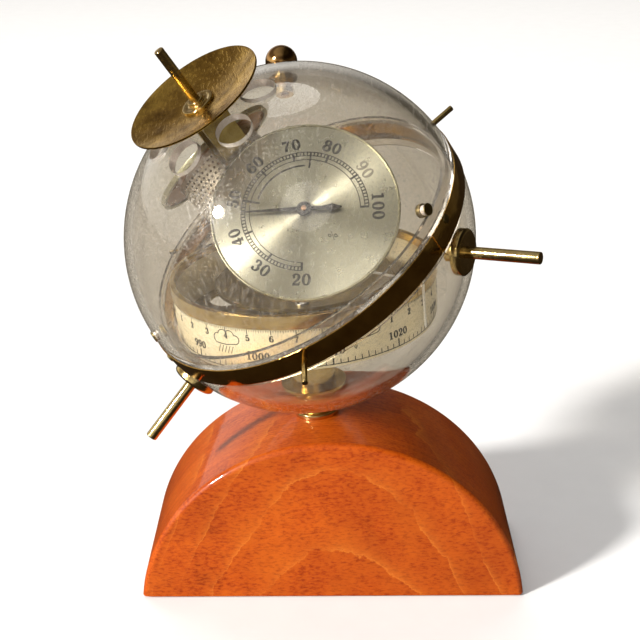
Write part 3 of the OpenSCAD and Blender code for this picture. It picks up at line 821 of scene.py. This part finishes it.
def build_aerials():
    flange_r = radii("aerial_flange_1", headed(TILT, *ROD_AT[0]))[1]
    bore = 1.6 * MM
    for k, rod_at in enumerate(ROD_AT, start=1):
        at = headed(TILT, *rod_at)
        high = heights(f"aerial_flange_{k}", at)[1]
        # The disc's foot follows the globe, and its face is slightly domed
        foot = [(radius, math.sqrt(GLOBE_R ** 2 - radius ** 2))
                for radius in (bore, flange_r * 0.35, flange_r * 0.7, flange_r)]
        outline = foot[:3] + [
            (*foot[3], 0.05 * MM), (flange_r, high - 0.75 * MM, 0.3 * MM),
            (flange_r - 0.8 * MM, high - 0.05 * MM, 0.4 * MM),
            (flange_r * 0.62, high, 0.2 * MM), (bore, high),
        ]
        turned(f"aerial_disc_{k}", eased(outline, 0), at, "brass", BRASS, f"aerial_flange_{k}")
        rod_low, rod_high = heights(f"aerial_rod_{k}", at)
        rod_r = radii(f"aerial_rod_{k}", at)[1]
        shape = Shape()
        shape.lathe(rod_outline(1.5 * MM, rod_low, high, 0.2 * MM), segments=48)
        outline = [(0, high - 0.02 * MM, 0), (rod_r, high - 0.02 * MM, 0.05 * MM),
                   (rod_r, rod_high, 0.35 * MM), (0, rod_high, 0)]
        shape.lathe(eased(outline, 0.2 * MM), segments=64)
        shape.piece(f"aerial_{k}", at, "globe", "brass", [BRASS], [f"aerial_rod_{k}"])


# ---------------------------------------------------------------- dish and knob


def build_dish():
    rim = radii("dish", TILT)[1]
    low, high = heights("dish", TILT)
    thick = 0.8 * MM
    floor = low + thick
    depth = high - floor
    ball = (rim * rim + depth * depth) / (2 * depth)
    bore = 1.7 * MM
    steps = 28
    reach = [bore + (rim - bore) * k / steps for k in range(steps + 1)]
    upper = [(r, floor + ball - math.sqrt(ball * ball - r * r)) for r in reach]
    under = [(r, floor + ball - math.sqrt((ball + thick) ** 2 - r * r)) for r in reversed(reach)]
    under = [(r, max(low, z)) for r, z in under]
    rim_ease = 0.3 * MM
    outline = upper[:-1] + [(*upper[-1], rim_ease), (*under[0], rim_ease)] + under[1:]
    turned("aerial_dish", eased(outline, 0), TILT, "brass", DISH_BRASS, "dish", 160)

    rod_r = radii("dish_rod", TILT)[1]
    outline = rod_outline(rod_r, *heights("dish_rod", TILT), 0.3 * MM)
    turned("dish_mast", outline, TILT, "brass", BRASS, "dish_rod", 64)

    hub_high = heights("dish_hub", TILT)[1]
    hub_r = radii("dish_hub", TILT)[1]
    step = floor + 1 * MM
    sit = floor + ball - math.sqrt(ball * ball - hub_r ** 2)
    neck_r = 2.9 * MM
    outline = [
        (bore, floor, 0), (hub_r, sit + 0.01 * MM, 0), (hub_r, step, 0.3 * MM),
        (hub_r - 1.0 * MM, step, 0.1 * MM), (neck_r + 0.7 * MM, step - 0.25 * MM, 0.2 * MM),
        (neck_r, step - 0.1 * MM, 0.2 * MM), (neck_r, hub_high, 0.4 * MM), (bore, hub_high, 0.1 * MM),
    ]
    turned("dish_hub_ring", eased(outline, 0), TILT, "brass", BRASS, "dish_hub")

    spacer_r = radii("dish_spacer", TILT)[1]
    sit = math.sqrt(GLOBE_R ** 2 - spacer_r ** 2)
    top = low - 0.01 * MM
    outline = [(bore, GLOBE_R), (spacer_r, sit + 0.02 * MM), (spacer_r, top), (bore, top)]
    turned("dish_spacer_ring", eased(outline, 0.12 * MM), TILT, "brass", BRASS, "dish_spacer", 64)


def build_ball():
    at = headed(TILT, *BALL_AT)
    low, high = heights("ball_knob", at)
    ball_r = radii("ball_knob", at)[1]
    centre = high - ball_r
    foot = GLOBE_R + 0.15 * MM
    stem_r, neck_r = 1.5 * MM, 2.6 * MM
    outline = [(0, low), (stem_r, low), (stem_r, foot), (neck_r, foot), (neck_r, foot + 0.5 * MM)]
    start = math.degrees(math.asin((foot + 0.9 * MM - centre) / ball_r))
    outline += arc(ball_r, start, 90, 48, (0, centre))[:-1] + [(0, high)]
    turned("ball_finial", outline, at, "brass", BRONZE, "ball_knob", sharp=40)


# ---------------------------------------------------------------- figures


def stroke(points, widths):
    """Points along a stroke with a width for each; one width may stand for all."""
    return points, widths if isinstance(widths, list) else [widths] * len(points)


def swelling(thin, thick, start, end, steps=14):
    """Widths for a curve: thick where it runs upright, thin at its top and foot."""
    return [
        thin + (thick - thin) * abs(math.cos(math.radians(start + (end - start) * k / steps)))
        for k in range(steps + 1)
    ]


def figure_strokes(sign):
    """Strokes of a slab-serif figure in a box 0.7 wide and 1 high."""
    thin, thick = 0.09, 0.2

    def bowl(centre, rx, ry, start=0, end=360):
        return stroke(curve(centre, rx, ry, start, end, 24), swelling(thin, thick, start, end, 24))

    def dot(x, y, r=0.1):
        along = [(x + r * part, y) for part in (-1, -0.4, 0.4, 1)]
        return stroke(along, [0.08, r * 2, r * 2, 0.08])

    if sign == "0":
        return [bowl((0.35, 0.5), 0.25, 0.45)]
    if sign == "1":
        return [
            stroke([(0.36, 0.03), (0.36, 0.98)], thick),
            stroke([(0.12, 0.05), (0.6, 0.05)], 0.1),
            stroke([(0.12, 0.84), (0.34, 0.93)], 0.1),
        ]
    if sign == "2":
        top = curve((0.35, 0.7), 0.23, 0.25, 165, -40, 16)
        return [
            stroke(top + [(0.32, 0.32), (0.1, 0.1)], swelling(thin, thick, 165, -40, 16) + [0.15, 0.1]),
            stroke([(0.06, 0.08), (0.62, 0.08)], 0.16),
            stroke([(0.6, 0.06), (0.62, 0.26)], 0.08),
            dot(0.17, 0.7),
        ]
    if sign == "3":
        return [
            stroke(curve((0.32, 0.73), 0.22, 0.22, 150, -80), swelling(thin, thick, 150, -80)),
            stroke(curve((0.32, 0.29), 0.26, 0.25, 80, -150), swelling(thin, thick, 80, -150)),
            dot(0.16, 0.78),
            dot(0.14, 0.2),
        ]
    if sign == "4":
        return [
            stroke([(0.46, 0.03), (0.46, 0.97)], thick),
            stroke([(0.46, 0.95), (0.04, 0.32)], 0.09),
            stroke([(0.03, 0.3), (0.66, 0.3)], 0.1),
            stroke([(0.28, 0.05), (0.64, 0.05)], 0.1),
        ]
    if sign == "5":
        return [
            stroke([(0.15, 0.91), (0.58, 0.91)], 0.14),
            stroke([(0.16, 0.94), (0.13, 0.5)], 0.09),
            stroke(curve((0.33, 0.32), 0.25, 0.27, 140, -150), swelling(thin, thick, 140, -150)),
            dot(0.14, 0.2),
        ]
    if sign == "6":
        return [
            bowl((0.35, 0.31), 0.24, 0.26),
            stroke(curve((0.42, 0.42), 0.31, 0.52, 75, 195, 16), swelling(thin, thick, 75, 195, 16)),
            dot(0.55, 0.83, 0.08),
        ]
    if sign == "7":
        return [
            stroke([(0.08, 0.9), (0.64, 0.9)], 0.17),
            stroke([(0.1, 0.98), (0.08, 0.72)], 0.08),
            stroke([(0.6, 0.9), (0.36, 0.5), (0.28, 0.03)], [0.09, 0.16, 0.22]),
        ]
    if sign == "8":
        return [bowl((0.35, 0.75), 0.2, 0.21), bowl((0.35, 0.28), 0.25, 0.25)]
    if sign == "9":
        turned = figure_strokes("6")
        return [([(0.7 - x, 1 - y) for x, y in points], widths) for points, widths in turned]
    if sign == "-":
        return [stroke([(0.12, 0.48), (0.58, 0.48)], 0.12)]
    if sign == "%":
        return [
            stroke(curve((0.16, 0.74), 0.13, 0.18, 0, 360, 16), 0.08),
            stroke(curve((0.6, 0.26), 0.13, 0.18, 0, 360, 16), 0.08),
            stroke([(0.14, 0.02), (0.62, 0.98)], 0.06),
        ]
    if sign == "o":
        return [stroke(curve((0.3, 0.8), 0.14, 0.16, 0, 360, 16), 0.08)]
    return []


class Print:
    """Ink on a face: marks are thin raised solids, flat or bent round a drum."""

    def __init__(self, bend=None):
        self.shape = Shape()
        self.low, self.high = 0.02 * MM, 0.07 * MM
        self.bend = bend

    def line(self, points, width, slot=0):
        points, widths = stroke(points, width)
        self.shape.ribbon(points, widths, self.low, self.high, slot=slot, bend=self.bend)

    def ring(self, radius, width, start, end, slot=0):
        steps = max(8, int(abs(end - start) / 2))
        self.line(arc(radius, start, end, steps), width, slot)

    def words(self, signs, centre, size, turn, slot=0, weight=1.0):
        """Figures in a row about a centre; turn is the heading of their upright, in degrees."""
        up = toward(turn)
        right = Vector((up.y, -up.x))
        pitch = 0.82
        start = Vector(centre) - right * size * pitch * len(signs) / 2 - up * size / 2
        for k, sign in enumerate(signs):
            corner = start + right * size * (pitch * k + (pitch - 0.7) / 2)
            for points, widths in figure_strokes(sign):
                placed = [tuple(corner + right * x * size + up * y * size) for x, y in points]
                self.line(placed, [w * size * weight for w in widths], slot)

    def piece(self, name, place, slot, materials):
        self.shape.piece(name, place, "globe", slot, materials, sharp=60)


# ---------------------------------------------------------------- dial instruments


SCALE_STEP = 10 / 3


def dial_heading(value, middle):
    """Heading in the dial's frame of a scale value; the middle value points to the pole."""
    return 90 - (value - middle) * SCALE_STEP


def build_dial(prefix, place, low, high, middle, long_marks, upright, worn, comfort, sign):
    """A dial: its plate, its rim and its print, which runs from low to high, middle at the pole.

    Values in upright are turned to be read from below, and those in worn are printed faintly.
    """
    bore, dial_r = radii(f"{prefix}_dial", place)
    dial_t = -heights(f"{prefix}_dial", place)[0]
    shape = Shape().lathe(tube_outline(bore, dial_r, -dial_t, 0, 0.15 * MM), segments=160)
    finish = [FACE, BACK]
    plate = shape.piece(
        f"{prefix}_face", place, "globe", "dial_face", finish, [f"{prefix}_dial"], own_frame=True,
    )
    for polygon in plate.data.polygons:
        polygon.material_index = 1 if polygon.normal.z < -0.3 else 0

    rim_in, rim_out = radii(f"{prefix}_bezel", place)
    rim_low, rim_high = heights(f"{prefix}_bezel", place)
    seat_r, seat = dial_r + 0.02 * MM, -dial_t - 0.02 * MM
    outline = [
        (rim_in, rim_low), (rim_out, rim_low), (rim_out, rim_high), (seat_r, rim_high),
        (seat_r, seat), (rim_in, seat),
    ]
    outline = eased(outline, 0.2 * MM)
    turned(f"{prefix}_rim", outline, place, "dark_brass", BEZEL, f"{prefix}_bezel", 160)

    marks = Print()
    outer, mid, inner = 0.69 * dial_r, 0.648 * dial_r, 0.60 * dial_r
    start, end = dial_heading(low, middle), dial_heading(high, middle)
    hair, fine, bold, past = 0.28 * MM, 0.4 * MM, 0.7 * MM, 0.05 * MM
    for radius in (outer, mid, inner):
        marks.ring(radius, hair, start, end)

    def bar(value, near, far, width):
        way = toward(dial_heading(value, middle))
        marks.line([tuple(way * near), tuple(way * far)], width)

    for value in range(low, high + 1):
        bar(value, mid, outer, fine)
    for value in range(low, high + 1, 10):
        bar(value, inner - past, outer + past, bold)
    for value in long_marks:
        bar(value, 0.5 * dial_r, outer + past, bold * 0.85)
    for value in range(low, high + 1, 10):
        turn = dial_heading(value, middle)
        centre = toward(turn) * 0.79 * dial_r
        slot = 1 if value in worn else 0
        turn += 180 if value in upright else 0
        marks.words(str(value), centre, 0.132 * dial_r, turn, slot, weight=1.15)
    marks.ring(0.53 * dial_r, 0.55 * MM, *(dial_heading(value, middle) for value in comfort))
    marks.words(sign, Vector((0, -0.43 * dial_r)), 0.1 * dial_r, 90)
    marks.piece(f"{prefix}_print", place, "dial_face", [BLACK_INK, WORN_INK])


def build_needle(prefix, place, body):
    """A needle that points where its CAD node points, with a lozenge on its tail."""
    node = f"{prefix}_needle"
    points = local_points(node, place)
    tip = max((p for p in points if p.z > 0), key=lambda p: math.hypot(p.x, p.y))
    length = math.hypot(tip.x, tip.y)
    at = Matrix.Rotation(math.atan2(tip.y, tip.x) - math.pi / 2, 4, "Z")
    low, high = heights(node, place)
    blade_low = 1.2 * MM
    blade_high = blade_low + 0.4 * MM
    tail = 0.6 * length
    half = [
        (0.14 * MM, length), (0.7 * MM, 2 * MM), (0.5 * MM, -0.5 * tail),
        (1.2 * MM, -tail + 3 * MM), (0.15 * MM, -tail),
    ]
    outline = half + [(-x, y) for x, y in reversed(half)]
    shape = Shape()
    shape.prism(outline, blade_low, blade_high, at)
    hub_r, hub_low, hub_high = 2.35 * MM, blade_low - 0.1 * MM, blade_high + 0.28 * MM
    hub = [
        (0, hub_low, 0), (hub_r, hub_low, 0.1 * MM), (hub_r, blade_high + 0.1 * MM, 0.2 * MM),
        (1.3 * MM, hub_high, 0.3 * MM), (0, hub_high, 0),
    ]
    shape.lathe(eased(hub, 0), segments=64)
    shape.lathe(rod_outline(0.85 * MM, blade_high, high - 0.01 * MM, 0.25 * MM), segments=32, slot=1)
    shape.lathe(rod_outline(0.55 * MM, low, blade_high, 0.1 * MM), segments=32, slot=1)
    shape.piece(f"{prefix}_hand", place, body, "black_enamel", [BLACK, COPPER], [node])


def build_case(prefix, place, perforated, material):
    """An instrument's round case: a vented back plate and a wall, rolled or perforated."""
    node = f"{prefix}_case"
    radius = radii(node, place)[1]
    low, high = heights(node, place)
    wall = 0.6 * MM
    shape = Shape()
    # Back plate with its ring of vents, drawn as sectors that each hold one round vent
    vents, vent_steps = 12, 24
    vent_r, vent_at = 1.6 * MM, radius - 6 * MM
    ring_out, ring_in = vent_at + 2.6 * MM, vent_at - 2.6 * MM
    shape.lathe(tube_outline(ring_out, radius, low, low + wall, 0.2 * MM), segments=96)
    shape.lathe(rod_outline(ring_in, low, low + wall, 0), segments=96)
    for k in range(vents):
        at = Matrix.Rotation(math.radians(360 / vents * (k + 0.5)), 4, "Z")
        for j in range(vent_steps):
            ways = [toward(360 / vent_steps * edge) for edge in (j, j + 1)]
            quad = [(Vector((vent_at, 0)) + way * vent_r, way) for way in ways]
            outline = vent_sector(quad, vent_at, ring_in, ring_out, 180 / vents)
            shape.prism(outline, low, low + wall, at)
    if not perforated:
        shape.lathe(tube_outline(radius - wall, radius, low + wall, high, 0.1 * MM), segments=128)
        bead = low + 3 * MM, low + 3.8 * MM
        outline = tube_outline(radius - 0.05 * MM, radius + 0.35 * MM, *bead, 0.2 * MM)
        shape.lathe(outline, segments=128)
    else:
        rows, columns = round((high - low) / (1.7 * MM)) - 1, 60
        pitch_z = (high - low - 2.4 * MM) / rows
        edge = low + 1.2 * MM
        for z0, z1 in ((low, edge), (edge + rows * pitch_z, high)):
            shape.lathe(tube_outline(radius - wall, radius, z0, z1, 0.05 * MM), segments=120)
        for row in range(rows):
            for column in range(columns):
                turn = 360 / columns * (column + 0.5 * (row % 2))
                foot = edge + pitch_z * row
                perforation(shape, radius, wall, foot, pitch_z, turn, 360 / columns)
    slot = "perforated_sheet" if perforated else "copper_strip"
    shape.piece(f"{prefix}_can", place, "globe", slot, [material], [node])


def vent_sector(quad, vent_at, ring_in, ring_out, half_turn):
    """The part of a ring's sector that lies beyond one short stretch of a vent's rim."""
    outline = [tuple(point) for point, _ in quad]
    for _, way in reversed(quad):
        # Go out from the vent's middle until the sector's edge is met
        reach = 0.2 * MM
        while reach < 20 * MM:
            far = Vector((vent_at, 0)) + way * reach
            angle = abs(math.degrees(math.atan2(far.y, far.x)))
            if far.length >= ring_out or far.length <= ring_in or angle >= half_turn:
                break
            reach += 0.05 * MM
        outline.append(tuple(far))
    return outline


def perforation(shape, radius, wall, low, height, turn, width):
    """One cell of perforated sheet on a cylinder: a block with a round hole through it."""
    count = 8
    rim = arc(height * 0.27, 0, 360, count)[:-1]
    # The block's edge has a point opposite each point of the hole: middles of sides and corners
    half_w, half_h = math.radians(width) * radius / 2, height / 2
    signs = [(1, 0), (1, 1), (0, 1), (-1, 1), (-1, 0), (-1, -1), (0, -1), (1, -1)]
    corners = [(half_w * x, half_h * y) for x, y in signs]
    points = []
    for depth in (0.0, -wall):
        for x, y in rim + corners:
            angle = math.radians(turn) + x / radius
            r = radius + depth
            points.append((r * math.cos(angle), r * math.sin(angle), low + half_h + y))
    faces = []
    for k in range(count):
        j = (k + 1) % count
        faces.append((k, j, count + j, count + k))
        faces.append((2 * count + k, 3 * count + k, 3 * count + j, 2 * count + j))
        faces.append((k, 2 * count + k, 2 * count + j, j))
        faces.append((count + k, count + j, 3 * count + j, 3 * count + k))
    shape.solid(points, faces)


def build_instruments():
    build_dial(
        "hygrometer", HYGRO, 20, 100, 60, long_marks=(50, 75), upright=(20, 30), worn=(90,),
        comfort=(51.5, 73.5), sign="%",
    )
    build_dial(
        "thermometer", THERMO, -20, 60, 20, long_marks=(18, 24), upright=(-20, -10, 50, 60), worn=(),
        comfort=(18.5, 23.5), sign="o",
    )
    build_needle("hygrometer", HYGRO, "hygrometer_hand")
    build_needle("thermometer", THERMO, "thermometer_hand")
    build_case("hygrometer", HYGRO, False, CASE)
    build_case("thermometer", THERMO, True, SHEET)


# ---------------------------------------------------------------- drum barometer


def drum_bend(angle, height, out):
    """Maps a heading in degrees, a height and a lift onto the drum's outer face."""
    radius = DRUM_R + out
    return (radius * math.cos(math.radians(angle)), radius * math.sin(math.radians(angle)), height)


class DrumPrint(Print):
    """Marks on the drum: x is the way round it from the front, y the height above its foot."""

    def __init__(self):
        degrees = 180 / math.pi / DRUM_R
        super().__init__(bend=lambda x, y, z: drum_bend(x * degrees - 90, DRUM_LOW + y, z))

    def at(self, degrees):
        return math.radians(degrees) * DRUM_R


# Degrees round the drum for one hectopascal, and where the scale's middle, 1010, stands
HPA_STEP, HPA_MIDDLE = 2.95, 11.4


def build_drum():
    inner = radii("drum", GLOBE)[0]
    outline = tube_outline(inner, DRUM_R, DRUM_LOW, DRUM_TOP, 0.12 * MM)
    turned("scale_drum", outline, GLOBE, "printed_drum", DRUM, "drum", 240)

    height = DRUM_TOP - DRUM_LOW
    marks = DrumPrint()
    fine, bold = 0.3 * MM, 0.5 * MM
    base = 0.9 * MM
    place = {v: marks.at(HPA_MIDDLE + (v - 1010) * HPA_STEP) for v in range(960, 1061)}
    for value, x in place.items():
        tall = 2.6 * MM if value % 10 == 0 else 2.1 * MM if value % 5 == 0 else 1.5 * MM
        marks.line([(x, base), (x, base + tall)], bold if value % 10 == 0 else fine)
    for value in range(960, 1061, 10):
        marks.words(str(value), (place[value], base + 4.4 * MM), 2.5 * MM, 90, weight=1.3)
    marks.line([(place[value], base) for value in range(960, 1061, 2)], fine)
    build_upper_scale(marks, height)
    for heading, sky in ((-32, "rain"), (26, "cloud"), (84, "sun"), (-90, "rain")):
        weather_icon(marks, marks.at(heading), height * 0.53, sky)
    arrow = marks.at(21)
    marks.line([(arrow, 5.0 * MM), (arrow, 7.2 * MM)], 0.22 * MM)
    marks.line([(arrow - 0.6 * MM, 5.6 * MM), (arrow, 4.6 * MM), (arrow + 0.6 * MM, 5.6 * MM)], 0.2 * MM)
    marks.piece("drum_print", GLOBE, "printed_drum", [BLACK_INK])

    ring_low, ring_high = heights("drum_ring", GLOBE)
    ring_in, ring_out = radii("drum_ring", GLOBE)
    gap = 0.02 * MM
    lip = DRUM_TOP + gap
    step = ring_low + 1.4 * MM
    outer = DRUM_R + gap * 4
    outline = [
        (outer, ring_low), (ring_out, ring_low), (ring_out, ring_high, 0.25 * MM),
        (ring_in, ring_high, 0.25 * MM), (ring_in, step), (inner - gap, step),
        (inner - gap, lip), (outer, lip),
    ]
    outline = eased(outline, 0.12 * MM)
    turned("drum_top_ring", outline, GLOBE, "polished_brass", BRASS, "drum_ring", 240)


def build_upper_scale(marks, height):
    """Finer marks that hang from under the ring, in tenths, with one figure to every ten."""
    top = height - 4.25 * MM
    step = 10.0
    first = -72
    for k in range(15):
        centre = first + step * k
        for tenth in range(10):
            angle = centre + step * tenth / 10
            tall = 1.5 * MM if tenth == 0 else 1.0 * MM if tenth == 5 else 0.7 * MM
            x = marks.at(angle)
            marks.line([(x, top), (x, top - tall)], 0.3 * MM if tenth == 0 else 0.2 * MM)
        marks.words(str(k % 10), (marks.at(centre), top - 2.9 * MM), 2.1 * MM, 90, weight=1.4)


def weather_icon(marks, x, y, sky):
    """A plain sun, or a plain cloud outline with or without slanting rain."""
    centre = Vector((x, y))
    if sky == "sun":
        marks.line(curve((x, y), 2 * MM, 2 * MM, 0, 360, 24), 0.3 * MM)
        for k in range(8):
            way = toward(45 * k)
            marks.line([tuple(centre + way * 2.7 * MM), tuple(centre + way * 3.8 * MM)], 0.3 * MM)
        return
    # Each puff is an arc: its centre and radius in millimetres and its ends in degrees
    puffs = [
        (-3.2, 0.0, 1.7, 90, 270), (-1.2, 1.2, 1.9, 30, 175),
        (1.4, 1.4, 1.7, 0, 150), (3.4, 0.1, 1.5, -90, 95),
    ]
    for px, py, r, start, end in puffs:
        marks.line(curve((x + px * MM, y + py * MM), r * MM, r * MM, start, end, 12), 0.3 * MM)
    foot = [(-3.2, -1.7), (0, -1.85), (3.4, -1.4)]
    marks.line([(x + px * MM, y + py * MM) for px, py in foot], 0.3 * MM)
    if sky == "rain":
        for k in range(-2, 3):
            start = centre + Vector((k * 1.25, -2.3)) * MM
            marks.line([tuple(start), tuple(start + Vector((-0.9, -2.4)) * MM)], 0.24 * MM)


def build_pointer():
    """The barometer's hand: a flat arm over the drum, bent down outside it to the scale."""
    node = "pressure_pointer"
    reach = radii(node, GLOBE)[1]
    low, high = heights(node, GLOBE)
    arm_low = high - 0.8 * MM
    arm_high = arm_low + 0.5 * MM
    arm = GLOBE @ Matrix.Rotation(pointer_heading(node), 4, "Z")
    shape = Shape()
    half, end = 0.4 * MM, reach - 0.02 * MM
    outline = [
        (-15 * MM, 0), (-13 * MM, -1.6 * MM), (-2.4 * MM, -0.8 * MM), (end, -half),
        (end, half), (-2.4 * MM, 0.8 * MM), (-13 * MM, 1.6 * MM),
    ]
    shape.prism(outline, arm_low, arm_high)
    hub_r = 2.35 * MM
    hub = [(0, arm_low, 0), (hub_r, arm_low, 0.1 * MM), (hub_r, high, 0.25 * MM), (0, high, 0)]
    shape.lathe(eased(hub, 0), segments=48, slot=1)
    shoulder = low + 0.6 * MM
    blade = [(-half, shoulder), (0, low), (half, shoulder), (half, arm_high), (-half, arm_high)]
    stand = Matrix(((0, 0, 1, reach - 0.5 * MM), (1, 0, 0, 0), (0, 1, 0, 0), (0, 0, 0, 1)))
    shape.prism(blade, 0, 0.48 * MM, stand)
    shape.piece("pressure_hand", arm, "barometer_hand", "white_enamel", [WHITE, BRASS], [node])


def pointer_heading(node):
    """Heading of the arm: the mean of its farthest corners."""
    points = local_points(node, GLOBE)
    far = radii(node, GLOBE)[1]
    tips = [p for p in points if math.hypot(p.x, p.y) > far - 0.3 * MM]
    middle = sum(tips, Vector()) / len(tips)
    return math.atan2(middle.y, middle.x)


def build_movement():
    """A screw head on the movement's plate over each of its pillars."""
    plate_high = heights("movement_plate", GLOBE)[1]
    pillars = local_points("movement_pillars", GLOBE)
    foot, head_r = 0.02 * MM, 2.3 * MM
    head = [(0, foot, 0), (head_r, foot, 0.05 * MM), (head_r, 0.8 * MM, 0.3 * MM), (0, 1.1 * MM, 0)]
    screws = Shape()
    for heading in (30, 150, 270):
        near = [p for p in pillars if p.xy.normalized().dot(toward(heading)) > 0.94]
        centre = sum(near, Vector()) / len(near)
        screws.lathe(eased(head, 0), Matrix.Translation((centre.x, centre.y, plate_high)), 40)
    screws.piece("plate_screws", GLOBE, "globe", "steel", [STEEL])


# ---------------------------------------------------------------- nodes that keep their CAD mesh


KEPT = {
    "felt_pad": FELT, "stud": STEEL, "stud_washer": STEEL, "globe_washer": STEEL, "globe_nut": STEEL,
    "joint_ring": RING_CLEAR, "aerial_nuts": BRASS, "pole_nut": STEEL, "ball_nut": BRASS,
    "instrument_bracket": DARK_BRASS, "hygrometer_coil": COPPER, "thermometer_coil": COPPER,
    "pedestal": BRASS, "drum_floor": DARK_BRASS, "movement_pillars": BRASS, "movement_plate": DARK_BRASS,
    "pressure_capsule": CAPSULE, "capsule_spring": STEEL, "sector_lever": BRASS, "sector_pivot": STEEL,
    "pointer_bridge": STEEL, "pointer_arbor": STEEL,
}


# ---------------------------------------------------------------- stage, lamps and camera


def build_stage():
    n = Nodes("floor_finish")
    grain = n.noise(n.place(), 60, 3, 0.5)
    pale = n.ramp(grain, (0.3, (0.87, 0.88, 0.9)), (0.7, (0.89, 0.9, 0.92)))
    # Pale to the eye; painted greyer where seen through the clear shells, and painted dark where seen in
    # mirrors, a painted reflection that stands in for cards round the set
    rays = n.add("LightPath").outputs
    painted_mirror_and_glass_tone = n.blend(rays["Is Glossy Ray"], pale, (0.02, 0.014, 0.008))
    painted_mirror_and_glass_tone = n.blend(rays["Is Transmission Ray"], painted_mirror_and_glass_tone, (0.50, 0.475, 0.42))
    finish = n.done(n.principled(Base_Color=painted_mirror_and_glass_tone, Roughness=0.9, Specular_IOR_Level=0.1))
    half = 40.0
    corners = [(-half, -half, 0), (half, -half, 0), (half, half, 0), (-half, half, 0)]
    floor_mesh = bpy.data.meshes.new("floor")
    floor_mesh.from_pydata(corners, [], [(0, 1, 2, 3)])
    floor_mesh.materials.append(finish)
    floor = put("floor", floor_mesh)
    floor.location.z = cad_low.z


def sun(way, strength, spread, colour):
    """An even key light from far off; spread is how wide it looks, in degrees."""
    data = bpy.data.lights.new("key", "SUN")
    data.energy, data.angle, data.color = strength, math.radians(spread), colour
    made = put("key", data)
    made.rotation_mode = "QUATERNION"
    made.rotation_quaternion = Vector(way).to_track_quat("Z", "Y")


def lamp(name, way, distance, size, power, colour):
    """A round soft lamp that looks at the globe from a direction, and doesn't show in mirrors."""
    data = bpy.data.lights.new(name, "AREA")
    data.shape = "DISK"
    data.energy, data.size, data.color = power, size, colour
    made = put(name, data)
    made.visible_glossy = False
    way = Vector(way).normalized()
    aim = Vector((0, 0, GLOBE.translation.z * 0.8))
    made.location = aim + way * distance
    made.rotation_mode = "QUATERNION"
    made.rotation_quaternion = way.to_track_quat("Z", "Y")


def build_lamps():
    sun((-0.80, -0.50, 0.46), 5.2, 7, (1.0, 0.965, 0.91))
    lamp("front", (0.1, -0.9, 0.75), 1.6, 0.9, 7, (1.0, 0.98, 0.96))
    lamp("top", (-0.2, 0.6, 1.0), 1.6, 1.0, 9, (1.0, 0.99, 0.98))


def build_surroundings():
    """The room round the set: pale low down, dark above the horizon and on the right."""
    n = Nodes("studio", bpy.data.worlds.new("studio"))
    split = n.add("SeparateXYZ")
    n.link(n.add("TexCoord").outputs["Generated"], split.inputs[0])
    spread = n.add("MapRange")
    spread.inputs["From Min"].default_value = -1.0
    n.link(split.outputs[0], spread.inputs["Value"])
    up = n.ramp(
        split.outputs[2],
        (0.0, (0.75, 0.73, 0.69)), (0.18, (0.85, 0.82, 0.77)), (0.42, (0.16, 0.13, 0.10)),
        (0.66, (0.12, 0.10, 0.08)), (0.84, (0.33, 0.32, 0.29)), (1.0, (0.26, 0.25, 0.23)),
    )
    side = n.ramp(
        spread.outputs[0],
        (0.0, (1.15, 1.12, 1.06)), (0.4, (1.0, 1.0, 1.0)), (0.54, (0.6, 0.59, 0.57)),
        (0.66, (0.08, 0.07, 0.05)),
    )
    shade = n.add("Background")
    n.link(n.blend(1.0, up, side, "MULTIPLY"), shade.inputs[0])
    bpy.context.scene.world = n.done(shade.outputs[0])


def build_camera():
    """The photograph's view: from the front, a little above, looking down onto the globe."""
    place = Vector((1.65, -412.1, 268.7)) * MM
    yaw, pitch, roll = 0.0154, 0.393, -0.01345
    ahead = Vector((-math.sin(yaw) * math.cos(pitch), math.cos(yaw) * math.cos(pitch), -math.sin(pitch)))
    right = ahead.cross(Vector((0, 0, 1))).normalized()
    up = right.cross(ahead)
    turn = Matrix((right, up, -ahead)).transposed() @ Matrix.Rotation(roll, 3, "Z")
    data = bpy.data.cameras.new("camera")
    data.sensor_width = 36
    data.lens = 71.116875
    data.shift_x = 0.004453
    data.clip_start = 0.01
    made = put("camera", data)
    made.matrix_world = Matrix.Translation(place) @ turn.to_4x4()
    bpy.context.scene.camera = made


# ---------------------------------------------------------------- everything together


build_camera()
build_block()
build_foot()
build_shells()
build_band()
build_aerials()
build_dish()
build_ball()
build_instruments()
build_drum()
build_pointer()
build_movement()
for node, material in KEPT.items():
    dress(node, material)
build_stage()
build_lamps()
build_surroundings()
bpy.context.scene.view_settings.view_transform = "Standard"
